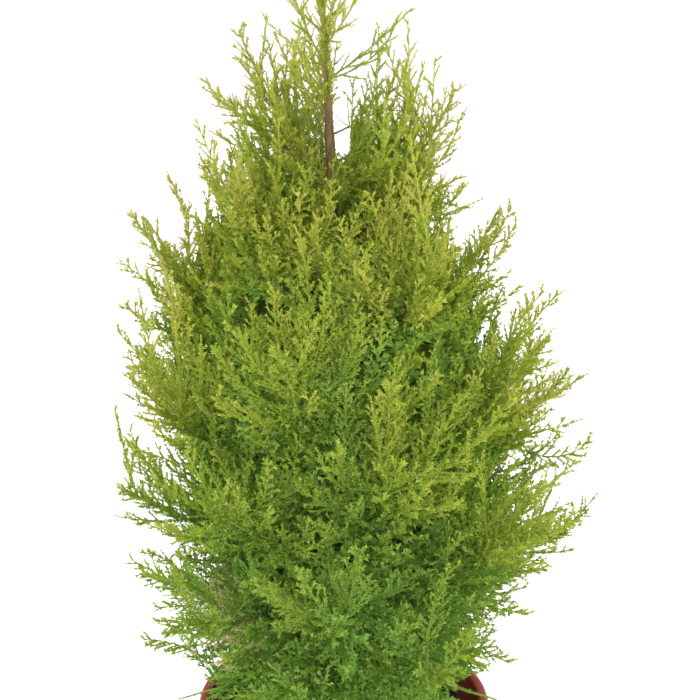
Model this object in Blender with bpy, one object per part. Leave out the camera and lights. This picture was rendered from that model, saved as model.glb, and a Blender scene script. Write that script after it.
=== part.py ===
"""A lemon cypress, 0.97 m tall with its pot, as separate solids.

Metres, +Z up. The origin is the centre of the pot's flat underside. -Y faces the viewer.
The crown is a plume on each of the trunk's limbs, and one on its leader. The lower limbs
begin as a bare bough.
"""

import math

import bmesh
import bpy
import numpy as np

SEATING_GAP = 0.0003
JOIN_MERGE = 0.000004

# The pot: tapered plastic, with a lip that is folded out and down into a skirt.
POT_HEIGHT = 0.225
POT_RIM_RADIUS = 0.140
POT_FOOT_RADIUS = 0.098
POT_WALL = 0.0028
POT_FLOOR = 0.0035
POT_FOOT_BEVEL = 0.003
LIP_WIDTH = 0.0090
SKIRT_DROP = 0.026
POT_SIDES = 36
DRAIN_HOLES = 6
DRAIN_RADIUS = 0.006
DRAIN_CIRCLE = 0.066
SOIL_BELOW_RIM = 0.032
SOIL_SIDES = 36
SOIL_SIDE_GAP = 0.0008

# The trunk: a lean to the left and a slight sweep, a flared foot and a long taper.
SOIL_LEVEL = POT_HEIGHT - SOIL_BELOW_RIM
TRUNK_TOP = POT_HEIGHT + 0.605
TRUNK_LEAN = -0.013
TRUNK_SWEEP = 0.004
TRUNK_FOOT_RADIUS = 0.0118
TRUNK_TOP_RADIUS = 0.0034
ROOT_FLARE = 0.0070
ROOT_FLARE_HEIGHT = 0.014
ROOT_LOBES = 0.16
TRUNK_SIDES = 10
TRUNK_RINGS = 16

# The crown's outline: the tips' reach from the trunk, left and right, by height above the pot's rim.
OUTLINE_HEIGHTS = (0.00, 0.12, 0.24, 0.36, 0.46, 0.55, 0.64, 0.70, 0.75)
LEFT_REACH = (0.163, 0.203, 0.211, 0.203, 0.196, 0.142, 0.106, 0.066, 0.020)
RIGHT_REACH = (0.168, 0.192, 0.242, 0.226, 0.186, 0.130, 0.110, 0.078, 0.020)
# The way a limb's tip points, in degrees above level, by the same heights.
TIP_RISE = (-14.0, 12.0, 34.0, 50.0, 58.0, 62.0, 64.0, 64.0, 64.0)
CHORD_SHARE = 0.82
LOWEST_TIP = 0.012
HIGHEST_TIP = 0.672
BASE_CROWDING = 0.9
BASE_DEPTH = 0.09
LOWEST_FOOT = POT_HEIGHT + 0.012
REACH_JITTER = 0.06
TURN_JITTER = math.radians(7.0)
FIRST_TURN = math.radians(60.0)
LIMB_SEED = 11

# Limbs: each leaves the trunk flatter than its chord and turns up. The lower ones begin as a bare bough.
LIMBS = 33
BOUGHS = 22
GOLDEN_ANGLE = math.radians(137.508)
BOUGH_SHARE = 0.22
BOUGH_TAPER = 0.70
LIMB_THICKNESS = 0.0150
BOUGH_SIDES = 6
BOUGH_RINGS = 4

# Shoots: side shoots leave a plume's stem by the golden angle and grow towards the crown's outline.
SHOOTS = 13
BARE_STEM = 0.06
LONGEST_SHOOT = 0.125
SHOOT_ANGLE = math.radians(44.0)
SHOOT_SEED = 29
TURN_UP = 0.38
SHORTER_TRIES = (1.0, 0.85, 0.7, 0.55, 0.42)
SHORTEST_SPRAY = 0.016
SPACE_CLEARANCE = 0.0012
TRUNK_CLEARANCE = 0.004
RIM_CLEARANCE = 0.005

# The leader's plume stands on the trunk's top.
CROWN_TOP = POT_HEIGHT + 0.745
LEADER_ANGLE = math.radians(60.0)

# A plume's core is a lumpy flame round its stem, inside the plume's own space.
CORE_RINGS = 7
CORE_SIDES = 6
CORE_WIDEST = 0.055
CORE_WIDTH = 0.36
CORE_END = 0.92
CORE_LUMPS = 0.16
CORE_SHARE_OF_REACH = 0.50
CORE_SHARE_OF_SPACE = 0.92
# How full the cores are, by the outline's heights: the crown opens towards its top.
CORE_FULLNESS = (1.0, 1.0, 1.0, 1.0, 0.95, 0.70, 0.50, 0.40, 0.30)

# A toothed blade stands for a shoot with its twigs: (share of length, share of length to the side).
BLADE_RIGHT = ((0.44, 0.125), (0.47, 0.034), (0.78, 0.090))
BLADE_LEFT = ((0.30, 0.115), (0.34, 0.036), (0.64, 0.105))
BLADE_RIDGE = 0.42
BLADE_THICKNESS = 0.020

TERRACOTTA = (0.42, 0.085, 0.055, 1.0)
PEAT = (0.045, 0.030, 0.020, 1.0)
BARK = (0.26, 0.14, 0.085, 1.0)
LIME_GREEN = (0.26, 0.38, 0.045, 1.0)


def clear_scene():
    for thing in list(bpy.data.objects):
        bpy.data.objects.remove(thing, do_unlink=True)


def material(name, colour, roughness, metallic=0.0):
    made = bpy.data.materials.new(name)
    made.use_nodes = True
    shader = made.node_tree.nodes["Principled BSDF"]
    shader.inputs["Base Color"].default_value = colour
    shader.inputs["Roughness"].default_value = roughness
    shader.inputs["Metallic"].default_value = metallic
    made.diffuse_color = colour
    return made


def mesh_object(name, points, faces, finish, smooth=False):
    """One object from points and faces, its faces turned to point outwards."""
    mesh = bpy.data.meshes.new(name)
    mesh.from_pydata([tuple(p) for p in points], [], faces)
    shape = bmesh.new()
    shape.from_mesh(mesh)
    bmesh.ops.recalc_face_normals(shape, faces=shape.faces)
    shape.to_mesh(mesh)
    shape.free()
    mesh.materials.append(finish)
    made = bpy.data.objects.new(name, mesh)
    bpy.context.scene.collection.objects.link(made)
    if smooth:
        mesh.shade_smooth()
        mesh.set_sharp_from_angle(angle=math.radians(40))
    return made


def apply_boolean(target, operation, cutter=None, collection=None, solver="EXACT"):
    """Joins or cuts, and leaves the result in the target's mesh."""
    boolean = target.modifiers.new("join" if operation == "UNION" else "cut", "BOOLEAN")
    boolean.operation = operation
    boolean.solver = solver
    if collection:
        boolean.operand_type = "COLLECTION"
        boolean.collection = collection
    else:
        boolean.object = cutter
    graph = bpy.context.evaluated_depsgraph_get()
    result = bpy.data.meshes.new_from_object(target.evaluated_get(graph))
    target.modifiers.clear()
    target.data = result


def tidy_joins(target):
    """Merges the corners that a join leaves almost on each other, unless that would open the mesh."""
    shape = bmesh.new()
    shape.from_mesh(target.data)
    bmesh.ops.triangulate(shape, faces=shape.faces)
    bmesh.ops.remove_doubles(shape, verts=shape.verts, dist=JOIN_MERGE)
    bmesh.ops.dissolve_degenerate(shape, edges=shape.edges, dist=JOIN_MERGE)
    bmesh.ops.triangulate(shape, faces=shape.faces)
    if all(len(edge.link_faces) == 2 for edge in shape.edges):
        shape.to_mesh(target.data)
    shape.free()


def turned(name, profile, sides, finish):
    """A closed solid of revolution from (radius, height) points. A point at radius 0 is a single pole."""
    points, rings = [], []
    for radius, height in profile:
        if radius == 0:
            rings.append([len(points)] * sides)
            points.append((0.0, 0.0, height))
            continue
        rings.append(list(range(len(points), len(points) + sides)))
        for k in range(sides):
            turn = 2 * math.pi * k / sides
            points.append((radius * math.cos(turn), radius * math.sin(turn), height))
    faces = []
    for lower, upper in zip(rings, rings[1:] + rings[:1]):
        for k in range(sides):
            n = (k + 1) % sides
            corners = dict.fromkeys((lower[k], lower[n], upper[n], upper[k]))
            if len(corners) > 2:
                faces.append(tuple(corners))
    return mesh_object(name, points, faces, finish, smooth=True)


def across(directions):
    """Two unit vectors square to each direction, carried along the line with no sudden turn."""
    sides, ups = [], []
    side = np.cross(directions[0], (0.0, 0.0, 1.0))
    if np.linalg.norm(side) < 0.2:
        side = np.array((1.0, 0.0, 0.0))
    for direction in directions:
        side = side - direction * np.dot(side, direction)
        side = side / np.linalg.norm(side)
        sides.append(side)
        ups.append(np.cross(side, direction))
    return np.array(sides), np.array(ups)


def directions_along(line):
    steps = np.gradient(line, axis=0)
    return steps / np.linalg.norm(steps, axis=1)[:, None]


def tube(name, line, radii, finish, smooth=True):
    """A solid round a line, with flat ends. radii holds a radius for each ring and side."""
    rings, sides = radii.shape
    side, up = across(directions_along(line))
    turns = 2 * math.pi * np.arange(sides) / sides
    circle = np.cos(turns)[None, :, None] * side[:, None, :] + np.sin(turns)[None, :, None] * up[:, None, :]
    points = (line[:, None, :] + circle * radii[:, :, None]).reshape(-1, 3)
    faces = [tuple(range(sides)), tuple(range(len(points) - sides, len(points)))]
    for ring in range(rings - 1):
        for k in range(sides):
            n = (k + 1) % sides
            low, high = ring * sides, (ring + 1) * sides
            faces.append((low + k, low + n, high + n, high + k))
    return mesh_object(name, points, faces, finish, smooth)


def trunk_axis(heights):
    """The trunk's centre line: the lean grows evenly with height, and the sweep is half a sine wave."""
    rise = (np.asarray(heights, float) - SOIL_LEVEL) / (TRUNK_TOP - SOIL_LEVEL)
    left_right = TRUNK_LEAN * rise + TRUNK_SWEEP * np.sin(math.pi * rise)
    front_back = TRUNK_SWEEP * np.sin(2 * math.pi * rise)
    return np.stack([left_right, front_back, np.asarray(heights, float)], axis=-1)


def trunk_radius(heights):
    """An even taper, and a flare that dies away above the soil."""
    rise = (np.asarray(heights, float) - SOIL_LEVEL) / (TRUNK_TOP - SOIL_LEVEL)
    taper = TRUNK_FOOT_RADIUS + (TRUNK_TOP_RADIUS - TRUNK_FOOT_RADIUS) * np.clip(rise, 0, 1) ** 0.85
    return taper + ROOT_FLARE * np.exp(-(np.asarray(heights) - SOIL_LEVEL) / ROOT_FLARE_HEIGHT)


def reach_at(height, turn):
    """How far the crown reaches at a height above the rim, towards a turn from +X."""
    left = np.interp(height, OUTLINE_HEIGHTS, LEFT_REACH)
    right = np.interp(height, OUTLINE_HEIGHTS, RIGHT_REACH)
    return left + (right - left) * (1 + math.cos(turn)) / 2


def tip_heights():
    """The limbs' tips share the crown's surface out evenly, but stand closer near its base."""
    heights = np.linspace(LOWEST_TIP, HIGHEST_TIP, 200)
    reach = np.add(LEFT_REACH, RIGHT_REACH) / 2
    crowding = 1 + BASE_CROWDING * np.exp(-heights / BASE_DEPTH)
    surface = np.cumsum(np.interp(heights, OUTLINE_HEIGHTS, reach) * crowding)
    surface = surface - surface[0]
    return np.interp((np.arange(LIMBS) + 0.5) / LIMBS * surface[-1], surface, heights)


def limb_frames():
    """For each limb: its foot on the trunk's axis, the point that it turns up at, and its tip."""
    draw = np.random.default_rng(LIMB_SEED)
    frames = []
    for number, height in enumerate(tip_heights()):
        turn = FIRST_TURN + number * GOLDEN_ANGLE + draw.uniform(-1, 1) * TURN_JITTER
        reach = reach_at(height, turn) * (1 + draw.uniform(-1, 1) * REACH_JITTER)
        rise = math.radians(np.interp(height, OUTLINE_HEIGHTS, TIP_RISE))
        outwards = np.array((math.cos(turn), math.sin(turn), 0.0))
        tip = trunk_axis(POT_HEIGHT + height) + outwards * reach
        foot_height = max(tip[2] - reach * math.tan(rise * CHORD_SHARE), LOWEST_FOOT + 0.0012 * number)
        foot = trunk_axis(foot_height)
        bend = foot + outwards * reach * 0.5
        bend[2] = tip[2] - 0.5 * reach * math.tan(rise)
        frames.append((foot, bend, tip))
    return frames


def limb_line(frame, shares):
    """Points of a limb at the given shares of its way: a curve from foot to tip, pulled towards the bend."""
    foot, bend, tip = frame
    t = np.asarray(shares, float)[:, None]
    return (1 - t) ** 2 * foot + 2 * t * (1 - t) * bend + t**2 * tip


def length_of(line):
    return float(np.linalg.norm(np.diff(line, axis=0), axis=1).sum())


def distance_to_line(points, line):
    """The distance from each point to a line of short segments."""
    starts, steps = line[:-1], np.diff(line, axis=0)
    offset = points[:, None, :] - starts[None]
    along = np.clip((offset * steps).sum(-1) / (steps**2).sum(-1), 0, 1)
    return np.linalg.norm(offset - along[..., None] * steps, axis=-1).min(axis=1)


def inside_outline(points):
    """True for each point that is within the crown's reach round the trunk."""
    height = points[:, 2] - POT_HEIGHT
    offset = points[:, :2] - trunk_axis(points[:, 2])[:, :2]
    left = np.interp(height, OUTLINE_HEIGHTS, LEFT_REACH)
    right = np.interp(height, OUTLINE_HEIGHTS, RIGHT_REACH)
    away = np.hypot(offset[:, 0], offset[:, 1])
    reach = left + (right - left) * (1 + offset[:, 0] / np.maximum(away, 1e-9)) / 2
    return (away < reach) & (height < OUTLINE_HEIGHTS[-1])


def way_to_outline(root, heading):
    """The length of a straight shoot that ends at the crown's outline."""
    steps = np.linspace(0, LONGEST_SHOOT, 60)
    inside = inside_outline(root + steps[:, None] * heading)
    return float(steps[-1] if inside.all() else steps[np.argmin(inside)])


def own_space(points, own, lines):
    """True for each point nearer its own limb than any other, and clear of the trunk and the pot."""
    nearest = distance_to_line(points, lines[own])
    free = np.ones(len(points), bool)
    for other, line in enumerate(lines):
        if other != own:
            free &= distance_to_line(points, line) > nearest + 2 * SPACE_CLEARANCE
    axis = trunk_axis(points[:, 2])
    from_trunk = np.hypot(points[:, 0] - axis[:, 0], points[:, 1] - axis[:, 1])
    above_trunk = points[:, 2] > TRUNK_TOP + TRUNK_CLEARANCE
    free &= above_trunk | (from_trunk > trunk_radius(points[:, 2]) + TRUNK_CLEARANCE)
    over_pot = np.hypot(points[:, 0], points[:, 1]) < POT_RIM_RADIUS + RIM_CLEARANCE
    return free & (~over_pot | (points[:, 2] > POT_HEIGHT + RIM_CLEARANCE))


def side_shoots(stem, own, angle):
    """The rule of branching: each shoot's number, root, direction, flat side and length, foot to tip."""
    draw = np.random.default_rng(SHOOT_SEED + own)
    length = length_of(stem)
    steps = np.concatenate([[0], np.cumsum(np.linalg.norm(np.diff(stem, axis=0), axis=1))])
    direction = directions_along(stem)
    side, up = across(direction)
    phase = draw.uniform(0, 2 * math.pi)
    for number in range(SHOOTS):
        at = (BARE_STEM + (1 - BARE_STEM) * number / SHOOTS) * length
        turn = phase + number * GOLDEN_ANGLE + draw.uniform(-0.25, 0.25)
        spread = angle * (1 + draw.uniform(-0.15, 0.15))
        root, along, s, u = (
            np.array([np.interp(at, steps, way[:, k]) for k in range(3)])
            for way in (stem, direction, side, up)
        )
        outwards = math.cos(turn) * s + math.sin(turn) * u
        heading = math.cos(spread) * along + math.sin(spread) * outwards + (0, 0, TURN_UP)
        heading = heading / np.linalg.norm(heading)
        long = way_to_outline(root, heading) * (1 + draw.uniform(-0.14, 0.06))
        flat = np.cross(heading, outwards)
        yield number, root, heading, flat / np.linalg.norm(flat), long


def blade_points(root, heading, flat, length):
    """A spray's outline, from its root round to its root again, and the two points of its ridge."""
    outline = [(0.0, 0.0), *BLADE_RIGHT, (1.0, 0.0)]
    outline += [(along, -wide) for along, wide in reversed(BLADE_LEFT)]
    face = np.cross(heading, flat)
    rim = [root + length * (along * heading + wide * flat) for along, wide in outline]
    middle = root + BLADE_RIDGE * length * heading
    lift = 0.5 * BLADE_THICKNESS * length * face
    return np.array([*rim, middle + lift, middle - lift])


def blade(name, points, finish):
    """A thin toothed leaf: two low cones on one outline."""
    rim = len(points) - 2
    faces = []
    for k in range(rim):
        faces += [(k, (k + 1) % rim, rim), ((k + 1) % rim, k, rim + 1)]
    return mesh_object(name, points, faces, finish)


def core_radii(own, stem, lines, foot_radius, draw):
    """The core's radius for each ring and side: the bough's own at the foot, then what its space allows."""
    at = np.linspace(0, 1, len(stem))
    side, up = across(directions_along(stem))
    turns = 2 * math.pi * np.arange(CORE_SIDES) / CORE_SIDES
    outwards = np.cos(turns)[None, :, None] * side[:, None] + np.sin(turns)[None, :, None] * up[:, None]
    steps = np.linspace(0, CORE_WIDEST / CORE_SHARE_OF_REACH, 45)
    points = stem[:, None, None] + steps[None, None, :, None] * outwards[:, :, None]
    shape = points.shape[:3]
    free = own_space(points.reshape(-1, 3), own, lines).reshape(shape)
    inside = inside_outline(points.reshape(-1, 3)).reshape(shape)
    room = steps[np.minimum(np.cumprod(free, axis=2).sum(axis=2), len(steps) - 1)]
    reach = steps[np.minimum(np.cumprod(inside, axis=2).sum(axis=2), len(steps) - 1)]
    swell = np.sin(math.pi * np.clip(at / CORE_END, 0, 1) ** 0.62) ** 0.8
    fullness = np.interp(stem[:, 2] - POT_HEIGHT, OUTLINE_HEIGHTS, CORE_FULLNESS)
    widest = min(CORE_WIDEST, CORE_WIDTH * length_of(stem)) * swell * fullness
    radii = np.minimum(CORE_SHARE_OF_SPACE * room, CORE_SHARE_OF_REACH * reach)
    radii = np.minimum(radii, widest[:, None])
    radii *= 1 - CORE_LUMPS * draw.uniform(0, 1, radii.shape)
    bare = foot_radius * (1 - 0.8 * at)
    radii = np.maximum(radii, bare[:, None])
    radii[0], radii[-1] = bare[0], bare[-1]
    return radii


def build_plume(name, own, stem, lines, angle, foot_radius, finish):
    """A core on its stem with the sprays that stand out of it, fused to one solid."""
    draw = np.random.default_rng(SHOOT_SEED + 100 + own)
    radii = core_radii(own, stem, lines, foot_radius, draw)
    plume = tube(name, stem, radii, finish, smooth=False)
    sprays = bpy.data.collections.new(name + "_sprays")
    bpy.context.scene.collection.children.link(sprays)
    for number, root, heading, flat, long in side_shoots(stem, own, angle):
        for shorter in SHORTER_TRIES:
            points = blade_points(root, heading, flat, long * shorter)
            if long * shorter > SHORTEST_SPRAY and own_space(points[1:], own, lines).all():
                spray = blade(f"{name}_spray_{number}", points, finish)
                bpy.context.scene.collection.objects.unlink(spray)
                sprays.objects.link(spray)
                break
    apply_boolean(plume, "UNION", collection=sprays, solver="MANIFOLD")
    for spray in list(sprays.objects):
        bpy.data.objects.remove(spray)
    bpy.data.collections.remove(sprays)
    tidy_joins(plume)
    return plume


def pot_wall_radius(height):
    """The outside of the pot's wall, which widens evenly from its foot to its lip."""
    slope = (POT_RIM_RADIUS - LIP_WIDTH + POT_WALL - POT_FOOT_RADIUS) / POT_HEIGHT
    return POT_FOOT_RADIUS + slope * height


def build_pot(finish):
    """A turned shell with a folded lip, and drain holes through its floor."""
    inside_rim = POT_RIM_RADIUS - LIP_WIDTH
    skirt_foot = POT_HEIGHT - SKIRT_DROP
    under_lip = POT_HEIGHT - POT_WALL - 0.001
    pot = turned(
        "pot",
        (
            (0, 0),
            (POT_FOOT_RADIUS - POT_FOOT_BEVEL, 0),
            (POT_FOOT_RADIUS, POT_FOOT_BEVEL),
            (pot_wall_radius(under_lip), under_lip),
            (POT_RIM_RADIUS - POT_WALL, under_lip),
            (POT_RIM_RADIUS - POT_WALL - 0.0015, skirt_foot),
            (POT_RIM_RADIUS - 0.0015, skirt_foot),
            (POT_RIM_RADIUS, POT_HEIGHT - POT_WALL),
            (POT_RIM_RADIUS - 0.0012, POT_HEIGHT - 0.0005),
            (POT_RIM_RADIUS - 0.5 * LIP_WIDTH, POT_HEIGHT),
            (inside_rim + 0.0008, POT_HEIGHT - 0.0008),
            (inside_rim, POT_HEIGHT - POT_WALL),
            (pot_wall_radius(POT_FLOOR) - POT_WALL, POT_FLOOR),
            (0, POT_FLOOR),
        ),
        POT_SIDES,
        finish,
    )
    for k in range(DRAIN_HOLES):
        turn = 2 * math.pi * (k + 0.53) / DRAIN_HOLES
        bpy.ops.mesh.primitive_cylinder_add(
            vertices=9,
            radius=DRAIN_RADIUS,
            depth=6 * POT_FLOOR,
            location=(DRAIN_CIRCLE * math.cos(turn), DRAIN_CIRCLE * math.sin(turn), POT_FLOOR / 2),
        )
        cutter = bpy.context.object
        apply_boolean(pot, "DIFFERENCE", cutter=cutter)
        bpy.data.objects.remove(cutter)
    return pot


def build_soil(finish):
    """The potting mix: a plug that fills the pot to below its rim."""
    floor = POT_FLOOR + SEATING_GAP
    foot = pot_wall_radius(floor) - POT_WALL - SOIL_SIDE_GAP
    top = pot_wall_radius(SOIL_LEVEL) - POT_WALL - SOIL_SIDE_GAP
    profile = ((0, floor), (foot, floor), (top, SOIL_LEVEL), (0, SOIL_LEVEL))
    return turned("potting_soil", profile, SOIL_SIDES, finish)


def build_trunk(finish):
    """One tapering stem from its flat cut on the soil to the foot of the leader's plume."""
    rise = np.linspace(0, 1, TRUNK_RINGS) ** 1.5
    heights = SOIL_LEVEL + SEATING_GAP + rise * (TRUNK_TOP - SOIL_LEVEL - SEATING_GAP)
    line = trunk_axis(heights)
    turns = 2 * math.pi * np.arange(TRUNK_SIDES) / TRUNK_SIDES
    flare = np.exp(-(heights - SOIL_LEVEL) / ROOT_FLARE_HEIGHT)
    lobes = 1 + ROOT_LOBES * flare[:, None] * np.cos(3 * turns + 0.6)
    rings = np.stack([np.cos(turns), np.sin(turns), 0 * turns], axis=-1) * lobes[..., None]
    points = (line[:, None] + rings * trunk_radius(heights)[:, None, None]).reshape(-1, 3)
    faces = [tuple(range(TRUNK_SIDES)), tuple(range(len(points) - TRUNK_SIDES, len(points)))]
    for ring in range(TRUNK_RINGS - 1):
        for k in range(TRUNK_SIDES):
            n = (k + 1) % TRUNK_SIDES
            low, high = ring * TRUNK_SIDES, (ring + 1) * TRUNK_SIDES
            faces.append((low + k, low + n, high + n, high + k))
    return mesh_object("trunk", points, faces, finish, smooth=True)


def trunk_clearance():
    """A cutter a little fatter than the trunk, which gives each bough its saddle on the bark."""
    heights = np.linspace(SOIL_LEVEL + 0.002, TRUNK_TOP + 0.02, 24)
    radii = trunk_radius(heights) / math.cos(math.pi / 12) + SEATING_GAP
    round_radii = np.repeat(radii[:, None], 12, axis=1)
    cutter = tube("trunk_clearance", trunk_axis(heights), round_radii, bpy.data.materials["bark"])
    cutter.hide_render = True
    cutter.display_type = "WIRE"
    return cutter


def build_bough(name, frame, radii, finish, cutter):
    """The bare inner part of a limb, cut to sit on the trunk."""
    line = limb_line(frame, np.linspace(0, BOUGH_SHARE, BOUGH_RINGS))
    bough = tube(name, line, np.repeat(radii[:, None], BOUGH_SIDES, axis=1), finish)
    apply_boolean(bough, "DIFFERENCE", cutter=cutter)
    return bough


def main():
    clear_scene()
    plastic = material("terracotta_plastic", TERRACOTTA, 0.45)
    peat = material("peat", PEAT, 0.95)
    bark = material("bark", BARK, 0.85)
    foliage = material("lime_foliage", LIME_GREEN, 0.6)
    build_pot(plastic)
    build_soil(peat)
    build_trunk(bark)
    cutter = trunk_clearance()

    frames = limb_frames()
    lines = [limb_line(frame, np.linspace(0.0, 1.0, 25)) for frame in frames]
    lines.append(trunk_axis(np.linspace(TRUNK_TOP, CROWN_TOP, 9)))
    leader = len(frames)

    for number, frame in enumerate(frames):
        name = f"foliage_{number + 1:02d}"
        length = length_of(lines[number])
        radii = LIMB_THICKNESS * length * np.linspace(1, BOUGH_TAPER, BOUGH_RINGS)
        if number < BOUGHS:
            build_bough(f"bough_{number + 1:02d}", frame, radii, bark, cutter)
            start = BOUGH_SHARE + SEATING_GAP / length
            stem = limb_line(frame, np.linspace(start, 1.0, CORE_RINGS))
            build_plume(name, number, stem, lines, SHOOT_ANGLE, radii[-1], foliage)
        else:
            stem = limb_line(frame, np.linspace(0.0, 1.0, CORE_RINGS))
            plume = build_plume(name, number, stem, lines, SHOOT_ANGLE, radii[0], foliage)
            apply_boolean(plume, "DIFFERENCE", cutter=cutter)

    stem = trunk_axis(np.linspace(TRUNK_TOP + SEATING_GAP, CROWN_TOP, CORE_RINGS))
    build_plume("foliage_leader", leader, stem, lines, LEADER_ANGLE, TRUNK_TOP_RADIUS, foliage)
    bpy.data.objects.remove(cutter)

    whole = bpy.data.objects.new("lemon_cypress", None)
    bpy.context.scene.collection.objects.link(whole)
    for piece in bpy.context.scene.collection.objects:
        if piece != whole:
            piece.parent = whole


main()
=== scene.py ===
"""The looks of a young lemon cypress in a terracotta-red nursery pot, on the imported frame.

Metres, +Z up. The origin is the centre of the pot's flat underside. -Y faces the viewer.
"""

import math

import bpy
import numpy as np
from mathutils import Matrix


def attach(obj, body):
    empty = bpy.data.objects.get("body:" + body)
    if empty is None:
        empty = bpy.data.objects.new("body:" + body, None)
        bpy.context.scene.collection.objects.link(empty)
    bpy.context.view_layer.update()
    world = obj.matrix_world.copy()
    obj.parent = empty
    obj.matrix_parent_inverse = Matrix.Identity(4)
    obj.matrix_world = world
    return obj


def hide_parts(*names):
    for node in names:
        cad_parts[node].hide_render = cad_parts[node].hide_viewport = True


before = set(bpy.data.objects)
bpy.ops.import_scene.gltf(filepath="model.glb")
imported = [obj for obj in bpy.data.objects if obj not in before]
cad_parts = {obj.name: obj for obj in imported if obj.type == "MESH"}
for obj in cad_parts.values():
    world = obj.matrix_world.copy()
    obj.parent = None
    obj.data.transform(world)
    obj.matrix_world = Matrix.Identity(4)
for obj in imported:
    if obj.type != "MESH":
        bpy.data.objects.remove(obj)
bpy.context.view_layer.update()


# The pot.
# A thin-walled nursery pot of terracotta-red plastic. It is moulded in one shot, its wall widens
# evenly to a lip that is folded out and down into a skirt, and six drain holes pierce its floor.
# Peat is smeared on the inside of the wall, with painted shade: together they darken it in patches, most from
# 5 cm below the lip down.

POT_HEIGHT = 0.225
RIM_RADIUS = 0.140
FOOT_RADIUS = 0.098
WALL = 0.0028
FLOOR = 0.0035
LIP_WIDTH = 0.0090
SKIRT_DROP = 0.026
POT_TURNS = 160
DRAIN_CIRCLE = 0.066
DRAIN_RADIUS = 0.006
DRAIN_HOLES = 6
POT_RED = (0.290, 0.046, 0.024)
POT_DEEP_RED = (0.225, 0.034, 0.018)
DRY_DUST = (0.16, 0.10, 0.065)
PEAT_AND_PAINTED_SHADE = (0.050, 0.032, 0.022)


def wall_radius(height):
    """Outside of the wall: the foot's radius plus an even slope times the height."""
    return FOOT_RADIUS + (RIM_RADIUS - LIP_WIDTH + WALL - FOOT_RADIUS) / POT_HEIGHT * height


def rounded(corners, steps=5):
    """A profile with each inner corner rounded.

    A corner with a radius r is a quadratic curve from r before it to r after it, pulled towards it.
    """
    points = np.array([corner[:2] for corner in corners], float)
    radii = np.array([corner[2] for corner in corners[1:-1]])[:, None]
    before = points[:-2] - points[1:-1]
    after = points[2:] - points[1:-1]
    start = points[1:-1] + before / np.linalg.norm(before, axis=1)[:, None] * radii
    end = points[1:-1] + after / np.linalg.norm(after, axis=1)[:, None] * radii
    t = np.linspace(0, 1, steps)[None, :, None]
    curves = (1 - t) ** 2 * start[:, None] + 2 * t * (1 - t) * points[1:-1, None] + t**2 * end[:, None]
    return np.concatenate([points[:1], curves.reshape(-1, 2), points[-1:]])


def surface(name, points, faces, finishes, face_finish=None, smooth=True, uv=None):
    """One object at the origin from point rows, and blocks of face rows that share a corner count."""
    mesh = bpy.data.meshes.new(name)
    corners = np.concatenate([block.ravel() for block in faces])
    counts = np.concatenate([np.full(len(block), block.shape[1]) for block in faces])
    mesh.vertices.add(len(points))
    mesh.vertices.foreach_set("co", np.ascontiguousarray(points, np.float32).ravel())
    mesh.loops.add(len(corners))
    mesh.loops.foreach_set("vertex_index", corners.astype(np.int32))
    mesh.polygons.add(len(counts))
    mesh.polygons.foreach_set("loop_start", np.concatenate([[0], np.cumsum(counts)[:-1]]).astype(np.int32))
    mesh.polygons.foreach_set("use_smooth", np.full(len(counts), smooth))
    for finish in finishes:
        mesh.materials.append(finish)
    if face_finish is not None:
        mesh.polygons.foreach_set("material_index", face_finish.astype(np.int32))
    if uv is not None:
        layer = mesh.uv_layers.new(name="along")
        layer.data.foreach_set("uv", uv[corners].astype(np.float32).ravel())
    mesh.update(calc_edges=True)
    made = bpy.data.objects.new(name, mesh)
    bpy.context.scene.collection.objects.link(made)
    return made


def ring_faces(rings, sides, first=0):
    """Four-cornered faces between rings of points, where point k of ring r is first + r * sides + k."""
    ring, k = np.meshgrid(np.arange(rings - 1), np.arange(sides), indexing="ij")
    low, high = first + ring * sides, first + (ring + 1) * sides
    n = (k + 1) % sides
    return np.stack([low + k, low + n, high + n, high + k], axis=-1).reshape(-1, 4)


def turned(profile, sides):
    """Points and faces of a profile turned about Z: (r cos a, r sin a, z). Its two ends are poles."""
    turns = 2 * math.pi * np.arange(sides) / sides
    radius, height = profile[1:-1, 0, None], profile[1:-1, 1, None]
    rings = np.stack([radius * np.cos(turns), radius * np.sin(turns), height + 0 * turns], axis=-1)
    points = np.concatenate([[(0, 0, profile[0, 1])], rings.reshape(-1, 3), [(0, 0, profile[-1, 1])]])
    k = np.arange(sides)
    n = (k + 1) % sides
    last = len(points) - 1
    start = np.stack([0 * k, 1 + n, 1 + k], axis=-1)
    end = np.stack([0 * k + last, last - sides + k, last - sides + n], axis=-1)
    return points, [ring_faces(len(profile) - 2, sides, 1), start, end]


def level_ways(turns):
    """Level directions at turns about Z from the right: (cos a, sin a, 0)."""
    return np.stack([np.cos(turns), np.sin(turns), 0 * turns], axis=-1)


def node_in(tree, kind, plain=None, **wired):
    """Adds a node. plain sets its properties; wired sets or connects its inputs by name, or i and number."""
    made = tree.nodes.new(kind)
    for key, value in (plain or {}).items():
        setattr(made, key, value)
    for key, value in wired.items():
        socket = made.inputs[int(key[1:]) if key[1:].isdigit() else key.replace("_", " ")]
        if isinstance(value, bpy.types.NodeSocket):
            tree.links.new(value, socket)
        elif isinstance(value, tuple) and len(socket.default_value) == 4:
            socket.default_value = (*value, 1)
        else:
            socket.default_value = value
    return made


def object_place(tree):
    """Where a point of the piece is, in metres."""
    return node_in(tree, "ShaderNodeTexCoord").outputs["Object"]


def noise(tree, place, scale, detail, roughness=0.5, distortion=0.0):
    """The height of smooth noise at a place."""
    sizes = {"Scale": scale, "Detail": detail, "Roughness": roughness, "Distortion": distortion}
    return node_in(tree, "ShaderNodeTexNoise", Vector=place, **sizes).outputs["Fac"]


def ramp(tree, value, low, high, start=0.0, end=1.0):
    """Runs from start to end while the value runs from low to high, and holds beyond them."""
    ends = {"From_Min": low, "From_Max": high, "To_Min": start, "To_Max": end}
    return node_in(tree, "ShaderNodeMapRange", Value=value, **ends).outputs[0]


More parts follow.
